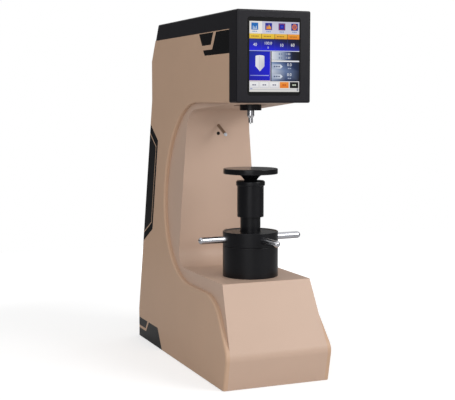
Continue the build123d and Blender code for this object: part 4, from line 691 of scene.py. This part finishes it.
def cross_recessed_head():
    """An 8 mm pan head with its cross recess and a stub of shank, facing up at the origin."""
    arm_length, arm_width, floor_share = 4.2 * MM, 0.95 * MM, 0.35
    recess_top, recess_floor = 3.2 * MM, 1.0 * MM
    head = ring_mesh(soft_profile((2.0, -4.0, 0), (2.0, 0.0, 0), (4.0, 0.0, 0.15), (4.0, 1.0, 0.9),
                                  (2.9, 2.3, 1.2), (0.0, SCREW_HEAD_HEIGHT, 0)), 40)
    body = bpy.data.objects.new("head_body", mesh_data("head_body", head))
    cutter = bmesh.new()
    for turn in (0, pi / 2):
        arm = bmesh.ops.create_cube(cutter, size=1.0)["verts"]
        for corner in arm:
            above = corner.co.z > 0
            corner.co.x *= arm_length if above else arm_length * floor_share
            corner.co.y *= arm_width
            corner.co.z = recess_top if above else recess_floor
        bmesh.ops.rotate(cutter, verts=arm, matrix=Matrix.Rotation(turn, 3, "Z"))
    tool = bpy.data.objects.new("recess_tool", mesh_data("recess_tool", cutter))
    for item in (body, tool):
        scene.collection.objects.link(item)
    cut = body.modifiers.new("recess", "BOOLEAN")
    cut.object = tool
    cut.operation = "DIFFERENCE"
    cut.solver = "EXACT"
    cut.use_self = True
    bake_modifiers(body)
    result = bmesh.new()
    result.from_mesh(body.data)
    bpy.data.objects.remove(body)
    bpy.data.objects.remove(tool)
    return result


def solid_islands(node_name):
    """Boxes of a node's separate solids, left to right, as (lowest corner, highest corner)."""
    mesh = bmesh.new()
    mesh.from_mesh(nodes[node_name].data)
    bmesh.ops.remove_doubles(mesh, verts=mesh.verts, dist=WELD)
    left = set(mesh.verts)
    boxes = []
    while left:
        group = [left.pop()]
        for corner in group:
            for edge in corner.link_edges:
                other = edge.other_vert(corner)
                if other in left:
                    left.remove(other)
                    group.append(other)
        places = [corner.co.copy() for corner in group]
        boxes.append((Vector([min(p[i] for p in places) for i in range(3)]),
                      Vector([max(p[i] for p in places) for i in range(3)])))
    mesh.free()
    return sorted(boxes, key=lambda box: tuple(box[0]))


repeated = repeat_tree("piece_at_every_place")
zinc_plate = plated_metal("zinc_plated_steel", "#A9ABB0", 0.30, 2.0, 0.08)
screw_places = []
for index, (low, high) in enumerate(solid_islands("cover_screws")):
    middle = (low + high) / 2
    seat = high.y - SCREW_HEAD_HEIGHT * MM
    twist = radians(37 * index % 90)        # each was driven home at an angle of its own
    screw_places.append(((middle.x, seat, middle.z), (-pi / 2, twist, 0.0)))
repeat_piece(repeated, "cross_recessed_screws", screw_places, cross_recessed_head(), zinc_plate,
             "frame", ["cover_screws"])


# ---- Feet and base plate ----
# Four levelling pads of matt rubber on steel studs, each stud locked by a nut. The zinc-plated
# plate closes the base above them.

foot_rubber = grained_surface("moulded_black_rubber", "#19191A", 1.2, 0.05, 0.72)
stud_steel = plated_metal("bright_steel", "#B4B4B6", 0.26, 1.2, 0.07)
for number in range(1, 5):
    finished_copy(f"foot_pad_{number}", foot_rubber)
    finished_copy(f"foot_stud_{number}", stud_steel)
finished_copy("base_plate", zinc_plate)
finished_copy("foot_lock_nuts", zinc_plate)


# ---- Drum ----
# Turned steel cup on the platform, round the thrust bearing. It is blackened in a hot salt bath
# and oiled: deep black with a satin glint, and the tool's fine rings still to be felt.

AXIS_Y = middle_of("drum_housing").y


def blackened_steel(name, code, roughness, ring_mm, ring_height_mm):
    """Oiled black oxide over turned steel; the tool's rings run round the machine's screw axis."""
    cloud_mm, unevenness = 12, 0.05
    material, tree, shader, place = start_material(
        name, Base_Color=colour(code), Metallic=0.3, Specular_IOR_Level=0.3, Coat_Weight=0.1,
        Coat_Roughness=0.2, Coat_IOR=1.46)
    centred = add_node(tree, "ShaderNodeVectorMath", {0: place, 1: (0.0, AXIS_Y, 0.0)},
                       operation="SUBTRACT")
    apart = add_node(tree, "ShaderNodeSeparateXYZ", {0: centred.outputs[0]})
    flat = add_node(tree, "ShaderNodeCombineXYZ", {0: apart.outputs[0], 1: apart.outputs[1]})
    radius = add_node(tree, "ShaderNodeVectorMath", {0: flat.outputs[0]}, operation="LENGTH")
    along = add_node(tree, "ShaderNodeMath", {0: radius.outputs["Value"], 1: apart.outputs[2]},
                     operation="ADD")
    line = add_node(tree, "ShaderNodeCombineXYZ", {0: along.outputs[0]})
    rings = add_node(tree, "ShaderNodeTexNoise",
                     {"Vector": line.outputs[0], "Scale": 1 / (ring_mm * MM), "Detail": 2.0})
    bump = add_node(tree, "ShaderNodeBump", {"Height": rings.outputs[0], "Strength": 0.5,
                                             "Distance": ring_height_mm * MM})
    tree.links.new(bump.outputs[0], shader.inputs["Normal"])
    cloud = add_node(tree, "ShaderNodeTexNoise",
                     {"Vector": place, "Scale": 1 / (cloud_mm * MM), "Detail": 4.0})
    sheen = add_node(tree, "ShaderNodeMapRange", {"Value": cloud.outputs[0],
                                                  "To Min": roughness - unevenness,
                                                  "To Max": roughness + unevenness})
    tree.links.new(sheen.outputs[0], shader.inputs["Roughness"])
    return material


def heights(node_name):
    """The lowest and the highest point of a node, in mm."""
    low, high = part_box(node_name)
    return low.z / MM, high.z / MM


def turned_piece(name, corners, material, body, replaced, segments=128):
    """A turning on the machine's screw axis. Its corners are (radius, height, rounding) in mm; they
    end where they began, or begin and end on the axis."""
    mesh = ring_mesh(soft_profile(*corners), segments, (0.0, AXIS_Y))
    place_piece(name, mesh_data(name, mesh), material, body, replaced)


foot, top = heights("drum_housing")
floor_top = foot + 6
drum_black = blackened_steel("oiled_black_oxide_on_turned_steel", "#0F0F13", 0.36, 0.9, 0.02)
turned_piece("drum", [(43, foot, 0), (56, foot, 0.6), (56, top, 1.1), (43, top, 0.4),
                      (43, floor_top, 0), (26, floor_top, 0), (26, foot, 0), (43, foot, 0)],
             drum_black, "frame", ["drum_housing"])


# ---- Thrust bearing and nut ----
# A ball race lets the hub turn under the load of the screw: hardened washers, polished balls
# and a bronze nut with a flange. Only its upper rim can be seen, inside the hub.

race_steel = plated_metal("hardened_ground_steel", "#9C9DA0", 0.20, 0.8, 0.05)
for name in ("bearing_race_lower", "bearing_race_upper"):
    finished_copy(name, race_steel)
ball_steel = plated_metal("polished_bearing_steel", "#B9BABD", 0.08, 0.8, 0.02)
BALL_RADIUS = 2.45 * MM
ball_places = [(tuple((low + high) / 2), (0.0, 0.0, 0.0))
               for low, high in solid_islands("bearing_balls")]
ball = bmesh.new()
bmesh.ops.create_uvsphere(ball, u_segments=20, v_segments=12, radius=BALL_RADIUS)
repeat_piece(repeated, "balls_of_the_race", ball_places, ball, ball_steel, "frame",
             ["bearing_balls"], 180.0)
nut_bronze = plated_metal("machined_bronze", "#B08A54", 0.30, 1.0, 0.08)
for name in ("elevating_nut", "screw_guide_bush"):
    finished_copy(name, nut_bronze)


# ---- Hub ----
# Turned ring over the drum that carries the nut and the four bars. Same black oxide, with a
# shallow dish on top where the rim catches the light.

foot, top = heights("capstan_hub")
dish = top - 1.5
web_foot = top - 3
turned_piece("hub_ring", [(25, foot, 0), (56, foot, 1.0), (56, top, 1.3), (52.6, top, 0.8),
                          (51.6, dish, 0.5), (21.4, dish, 0.3), (21.4, web_foot, 0),
                          (25, web_foot, 0), (25, foot, 0)],
             drum_black, "hub", ["capstan_hub"])


# ---- Bars ----
# Four chromium-plated steel bars with domed ends, screwed into the hub; one turn of the hub
# raises the screw by its lead. Bright plating, with faint marks of hands along its length.

BAR_RADIUS = 7.1
BAR_ROOT = 38.0         # the bars' inner ends, from the axis
BAR_END = 115.5
FIRST_BAR = 4.0         # degrees from the machine's side to the first bar
DOME_STEPS = 12

bar_chrome = plated_metal("chromium_plate_on_steel", "#BEBFC4", 0.2, 3.0, 0.04)
bar_line = [(0.0, BAR_ROOT), (BAR_RADIUS, BAR_ROOT), (BAR_RADIUS, BAR_ROOT + 16.0)]
for step in range(DOME_STEPS):
    angle = pi / 2 * step / DOME_STEPS
    bar_line.append((BAR_RADIUS * cos(angle), BAR_END - BAR_RADIUS + BAR_RADIUS * sin(angle)))
bar_line.append((0.0, BAR_END))
bar_height = middle_of("capstan_bars").z
bar_places = [((0.0, AXIS_Y, bar_height), (0.0, pi / 2, radians(FIRST_BAR + 90 * k)))
              for k in range(4)]
repeat_piece(repeated, "bars", bar_places, ring_mesh(bar_line, 48), bar_chrome, "hub",
             ["capstan_bars"])


# ---- Elevating screw ----
# Steel screw of 36 mm with a trapezoidal thread of 6 mm lead and a bore in its top for the
# anvil's spigot. It is dark with oil.

SCREW_RADIUS = 18.0
ROOT_RADIUS = 14.8
LEAD = 6.0
THREAD_END = 330.0
BORE_RADIUS = 9.55
BORE_FLOOR = 361.2


def threaded_screw(bottom, top, crest, root, pitch, segments=48):
    """A cylinder with a trapezoidal thread cut in it, closed at both ends, in mm; shape is one
    turn of the thread, as (share of the pitch, radius)."""
    mesh = bmesh.new()
    shape = ((0.0, crest), (0.32, crest), (0.5, root), (0.82, root))
    chamfer, plain_end = 1.0, 2.0
    start = bottom + plain_end
    turns = int((top - bottom - 2 * plain_end) / pitch)
    runout = start + pitch * (turns + 1)

    def column(k, line):
        angle = 2 * pi * k / segments
        return [mesh.verts.new((radius * MM * cos(angle), radius * MM * sin(angle) + AXIS_Y, z * MM))
                for radius, z in line]

    steps = range(segments + 1)
    grid = [column(k, [(radius, start + pitch * (turn + share + k / segments))
                       for turn in range(turns) for share, radius in shape]) for k in steps]
    low = [column(k, [(crest - chamfer, bottom), (crest, bottom + chamfer), (crest, start)])
           for k in steps]
    high = [column(k, [(root, runout), (crest, runout), (crest, top)]) for k in steps]
    for columns in (grid, low, high):
        for one, two in zip(columns, columns[1:]):
            for k in range(len(one) - 1):
                mesh.faces.new((one[k], two[k], two[k + 1], one[k + 1]))
    for k in range(segments):
        mesh.faces.new((low[k][2], low[k + 1][2], grid[k + 1][0], grid[k][0]))
        mesh.faces.new((grid[k][-1], grid[k + 1][-1], high[k + 1][0], high[k][0]))
    mesh.faces.new([low[k][0] for k in range(segments)])
    mesh.faces.new([high[k][-1] for k in range(segments)])
    bmesh.ops.remove_doubles(mesh, verts=mesh.verts, dist=WELD / 2)
    bmesh.ops.recalc_face_normals(mesh, faces=mesh.faces)
    return mesh


foot, top = heights("elevating_screw")
rim = top - 0.1         # just under the sleeve that rests on it
neck = THREAD_END - 1
screw_steel = plated_metal("oiled_screw_steel", "#6E6A66", 0.28, 1.0, 0.08)
thread = threaded_screw(foot, THREAD_END, SCREW_RADIUS, ROOT_RADIUS, LEAD)
place_piece("threaded_screw", mesh_data("threaded_screw", thread), screw_steel, "screw",
            ["elevating_screw"], 25.0)
turned_piece("screw_head", [(0, neck, 0), (SCREW_RADIUS, neck, 0), (SCREW_RADIUS, rim, 0.5),
                            (BORE_RADIUS, rim, 0.3), (BORE_RADIUS, BORE_FLOOR, 0), (0, BORE_FLOOR, 0)],
             screw_steel, "screw", [])


# ---- Sleeves ----
# Two telescoping steel tubes that keep dust off the screw, in the black oxide of the drum. The
# outer one hangs from the screw's top and has a turned bead.

foot, sleeve_top = heights("screw_sleeve_outer")
bead_foot = sleeve_top - 10
cap_foot = sleeve_top - 4
turned_piece("outer_sleeve", [(22.8, foot, 0), (26.8, foot, 0.8), (26.8, bead_foot, 0.6),
                              (29.2, bead_foot, 1.9), (29.2, sleeve_top, 4.0),
                              (BORE_RADIUS, sleeve_top, 0.4), (BORE_RADIUS, cap_foot, 0),
                              (22.8, cap_foot, 0), (22.8, foot, 0)],
             drum_black, "screw", ["screw_sleeve_outer"])
foot, top = heights("screw_sleeve_inner")
turned_piece("inner_sleeve", [(18.9, foot, 0), (20.4, foot, 0.4), (20.4, top, 0.4), (18.9, top, 0.2),
                              (18.9, foot, 0)],
             drum_black, "inner_sleeve", ["screw_sleeve_inner"])


# ---- Anvil ----
# Flat round table, 110 mm across, on a hollow flare and a short stem whose spigot drops into
# the screw. Ground flat on top and blackened, so it mirrors the wall at a low angle.

TABLE_RADIUS = 55
FLARE_RADIUS = 31.0
STEM_RADIUS = 12.8
SPIGOT_RADIUS = 9.45
FLARE_SAG = 2.6         # how far the flare's hollow lies inside a straight cone
FLARE_STEPS = 12

spigot_foot, table_top = heights("anvil")
table_foot = table_top - 11
flare_foot = table_top - 23.7
run, rise = FLARE_RADIUS - STEM_RADIUS, table_foot - flare_foot
slope = hypot(run, rise)
anvil_flare = []
for step in range(FLARE_STEPS):
    share = step / FLARE_STEPS
    sag = FLARE_SAG * 4 * share * (1 - share)
    anvil_flare.append((STEM_RADIUS + run * share - sag * rise / slope,
                        flare_foot + rise * share + sag * run / slope, 0))
anvil_black = blackened_steel("black_oxide_on_ground_steel", "#161618", 0.24, 0.6, 0.008)
turned_piece("anvil_table", [(0, spigot_foot, 0), (SPIGOT_RADIUS, spigot_foot, 0.8),
                             (SPIGOT_RADIUS, sleeve_top, 0), (STEM_RADIUS, sleeve_top, 0.3),
                             *anvil_flare, (FLARE_RADIUS, table_foot, 0.8),
                             (TABLE_RADIUS, table_foot, 1.8), (TABLE_RADIUS, table_top, 1.8),
                             (0, table_top, 0)],
             anvil_black, "screw", ["anvil"], 160)


# ---- Spindle, indenter and depth gauge ----
# The black collar below the arm holds the polished indenter with its small diamond; a black
# grub screw locks it. Bushes, disc springs and the ring gauge sit unseen inside the arm.

COLLAR_RADIUS = 21.75
SHAFT_RADIUS = 10

foot, top = heights("spindle")
socket_top, collar_top = foot + 9.3, foot + 13
ring_foot, ring_top = foot + 40.3, foot + 44.3
head_foot = top - 6
turned_piece("spindle_shaft", [(0, socket_top, 0), (3.225, socket_top, 0), (3.225, foot, 0.2),
                               (COLLAR_RADIUS, foot, 1.2), (COLLAR_RADIUS, collar_top, 1.2),
                               (SHAFT_RADIUS, collar_top, 0.5), (SHAFT_RADIUS, ring_foot, 0),
                               (13.5, ring_foot, 0.4), (13.5, ring_top, 0.4),
                               (SHAFT_RADIUS, ring_top, 0), (SHAFT_RADIUS, head_foot, 0),
                               (23, head_foot, 0.5), (23, top, 0.5), (0, top, 0)],
             drum_black, "spindle", ["spindle"])

foot, top = heights("indenter_body")
cone_foot, cone_top, shank_foot = foot + 9.8, foot + 14.4, foot + 24.9
indenter_steel = plated_metal("polished_tool_steel", "#C6C6CA", 0.2, 1.5, 0.05)
turned_piece("indenter_holder", [(0, foot, 0), (4.5, foot, 0.9), (4.5, cone_foot, 1.2),
                                 (7.35, cone_top, 1.0), (7.35, shank_foot, 0.5),
                                 (3.175, shank_foot, 0), (3.175, top, 0.3), (0, top, 0)],
             indenter_steel, "spindle", ["indenter_body"], 96)

FACET_MM = 0.8
diamond, diamond_tree, diamond_shader, diamond_place = start_material(
    "brazed_diamond", Base_Color=(0.72, 0.75, 0.80, 1.0), Roughness=0.03, IOR=2.42,
    Transmission_Weight=0.6)
facet = add_node(diamond_tree, "ShaderNodeTexVoronoi",
                 {"Vector": diamond_place, "Scale": 1 / (FACET_MM * MM)})
facet_bump = add_node(diamond_tree, "ShaderNodeBump", {"Height": facet.outputs[0], "Strength": 0.2,
                                                       "Distance": 0.02 * MM})
diamond_tree.links.new(facet_bump.outputs[0], diamond_shader.inputs["Normal"])
finished_copy("indenter_tip", diamond)

blued_steel = plated_metal("blackened_socket_screw", "#2A2A2D", 0.28, 0.6, 0.06)
finished_copy("indenter_clamp_screw", blued_steel)
finished_copy("spindle_bushes", nut_bronze)

spring_steel = plated_metal("tempered_spring_steel", "#6B6660", 0.32, 1.0, 0.08)
spring = finished_copy("spindle_spring", spring_steel, rigid=False)
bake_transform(spring)

turned_aluminium = plated_metal("turned_aluminium", "#BFC0C2", 0.34, 1.4, 0.07)
finished_copy("depth_gauge", turned_aluminium)


# ---- Load lever, weights, cam and motor ----
# The works inside the body: a forged beam on its pin, a stirrup carrying three cast weights,
# and a motor whose cam lifts the beam. Plain machined steel and painted iron.

forged_steel = plated_metal("machined_forged_steel", "#8E8C88", 0.36, 3.0, 0.09)
for name in ("load_lever", "weight_carrier", "load_cam"):
    finished_copy(name, forged_steel)
for name in ("knife_edge", "lever_pivot_pin"):
    finished_copy(name, race_steel)
weight_paint = grained_surface("grey_paint_on_cast_iron", "#4A4B4E", 2.2, 0.10, 0.50)
for number in range(1, 4):
    finished_copy(f"weight_{number}", weight_paint)
finished_copy("load_motor", turned_aluminium)


# ---- Work light ----
# A short polished tube out of the throat wall with a frosted lens in its end, and below it the
# rubber plug of a spare hole. The tube's steel is tinted beige: a painted reflection of the wall.

# the warm tint of this steel is painted reflection of the beige throat wall, not the metal's own colour
light_tube_steel_with_painted_reflection = plated_metal("polished_steel_tube_with_painted_wall_reflection", "#A79C92", 0.10, 1.5, 0.03)
finished_copy("work_light_tube", light_tube_steel_with_painted_reflection)
lens_plastic = grained_surface("frosted_lens", "#C9CED6", 0.4, 0.01, 0.28)
finished_copy("work_light_lens", lens_plastic)
finished_copy("wall_grommet", foot_rubber)


# ---- Power supply ----
# Folded box of brushed aluminium sheet on the base plate. It can only be seen with the back
# panel off.

brushed_case = plated_metal("brushed_aluminium_sheet", "#B9BABC", 0.36, 0.8, 0.08)
finished_copy("power_supply", brushed_case)


# ---- Floor, background and light ----
# A pale floor in a white surround. One broad lamp stands to the right and above, a dimmer one to
# the left, and the surround lights evenly. Gloss mirrors a surround that is white overhead, dim
# towards the horizon and a little brighter in front of the machine.

FLOOR_REACH = 1.7
FLOOR_PAPER = 0.66
NEAR_GLOW = 0.53        # what the floor adds to its own white round the machine, for the eye alone
NEAR_RADIUS, FAR_RADIUS = 0.7, 1.5
SURROUND = 0.60
FRONT = (0.42, -0.88, 0.22)


def seen_directly(tree):
    """1 for what the eye sees, straight or through glass."""
    rays = add_node(tree, "ShaderNodeLightPath").outputs
    return add_node(tree, "ShaderNodeMath", {0: rays["Is Camera Ray"], 1: rays["Is Transmission Ray"]},
                    operation="MAXIMUM").outputs[0]


floor_mesh = bmesh.new()
bmesh.ops.create_grid(floor_mesh, x_segments=1, y_segments=1, size=FLOOR_REACH)
floor = bpy.data.objects.new("floor", mesh_data("floor", floor_mesh))
scene.collection.objects.link(floor)
floor_paper = bpy.data.materials.new("white_paper")
floor_paper.use_nodes = True
paper_tree = floor_paper.node_tree
paper_tree.nodes.clear()
spot = add_node(paper_tree, "ShaderNodeTexCoord").outputs["Object"]
away = add_node(paper_tree, "ShaderNodeVectorMath", {0: spot}, operation="LENGTH").outputs["Value"]
glow_share = add_node(paper_tree, "ShaderNodeMapRange", {
    "Value": away, "From Min": NEAR_RADIUS, "From Max": FAR_RADIUS, "To Min": NEAR_GLOW,
    "To Max": 1.0}, interpolation_type="SMOOTHSTEP")
lift = add_node(paper_tree, "ShaderNodeMath", {0: seen_directly(paper_tree),
                                               1: glow_share.outputs[0]}, operation="MULTIPLY")
paper = add_node(paper_tree, "ShaderNodeBsdfDiffuse", {"Color": (*[FLOOR_PAPER] * 3, 1.0)})
glow = add_node(paper_tree, "ShaderNodeEmission", {"Strength": lift.outputs[0]})
both = add_node(paper_tree, "ShaderNodeAddShader", {0: paper.outputs[0], 1: glow.outputs[0]})
add_node(paper_tree, "ShaderNodeOutputMaterial", {"Surface": both.outputs[0]})
floor.data.materials.append(floor_paper)

world = bpy.data.worlds.new("studio")
scene.world = world
world.use_nodes = True
sky = world.node_tree
sky.nodes.clear()
glossy = add_node(sky, "ShaderNodeLightPath").outputs["Is Glossy Ray"]
heading = add_node(sky, "ShaderNodeTexCoord").outputs["Generated"]
height = add_node(sky, "ShaderNodeSeparateXYZ", {0: heading}).outputs[2]
overhead = add_node(sky, "ShaderNodeMapRange", {
    "Value": height, "From Min": 0.05, "From Max": 0.85, "To Min": 0.10, "To Max": 1.0},
    interpolation_type="SMOOTHSTEP")
frontal = add_node(sky, "ShaderNodeVectorMath", {0: heading, 1: FRONT},
                   operation="DOT_PRODUCT").outputs["Value"]
front_glow = add_node(sky, "ShaderNodeMapRange", {
    "Value": frontal, "From Min": 0.55, "From Max": 1.0, "To Min": 0.0, "To Max": 0.25},
    interpolation_type="SMOOTHSTEP")
mirrored = add_node(sky, "ShaderNodeMath", {0: overhead.outputs[0], 1: front_glow.outputs[0]},
                    operation="ADD")
lit = add_node(sky, "ShaderNodeMix", {"Factor": glossy, 2: SURROUND, 3: mirrored.outputs[0]},
               data_type="FLOAT")
shown = add_node(sky, "ShaderNodeMix", {"Factor": seen_directly(sky), 2: lit.outputs[0], 3: 1.0},
                 data_type="FLOAT")
surround = add_node(sky, "ShaderNodeBackground", {"Color": (1.0, 1.0, 1.0, 1.0),
                                                  "Strength": shown.outputs[0]})
add_node(sky, "ShaderNodeOutputWorld", {"Surface": surround.outputs[0]})


def soft_lamp(name, place, aim, size, power):
    """A square area lamp of that size in metres, turned to its aim."""
    data = bpy.data.lights.new(name, "AREA")
    data.shape = "SQUARE"
    data.size = size
    data.energy = power
    lamp = bpy.data.objects.new(name, data)
    lamp.location = place
    lamp.rotation_euler = (Vector(aim) - Vector(place)).to_track_quat("-Z", "Y").to_euler()
    scene.collection.objects.link(lamp)


soft_lamp("key_lamp", (1.7, -2.2, 1.75), (0.0, 0.0, 0.35), 1.5, 39.0)
soft_lamp("fill_lamp", (-1.4, -2.5, 1.0), (0.0, 0.0, 0.3), 1.6, 20.0)

scene.view_settings.view_transform = "Standard"
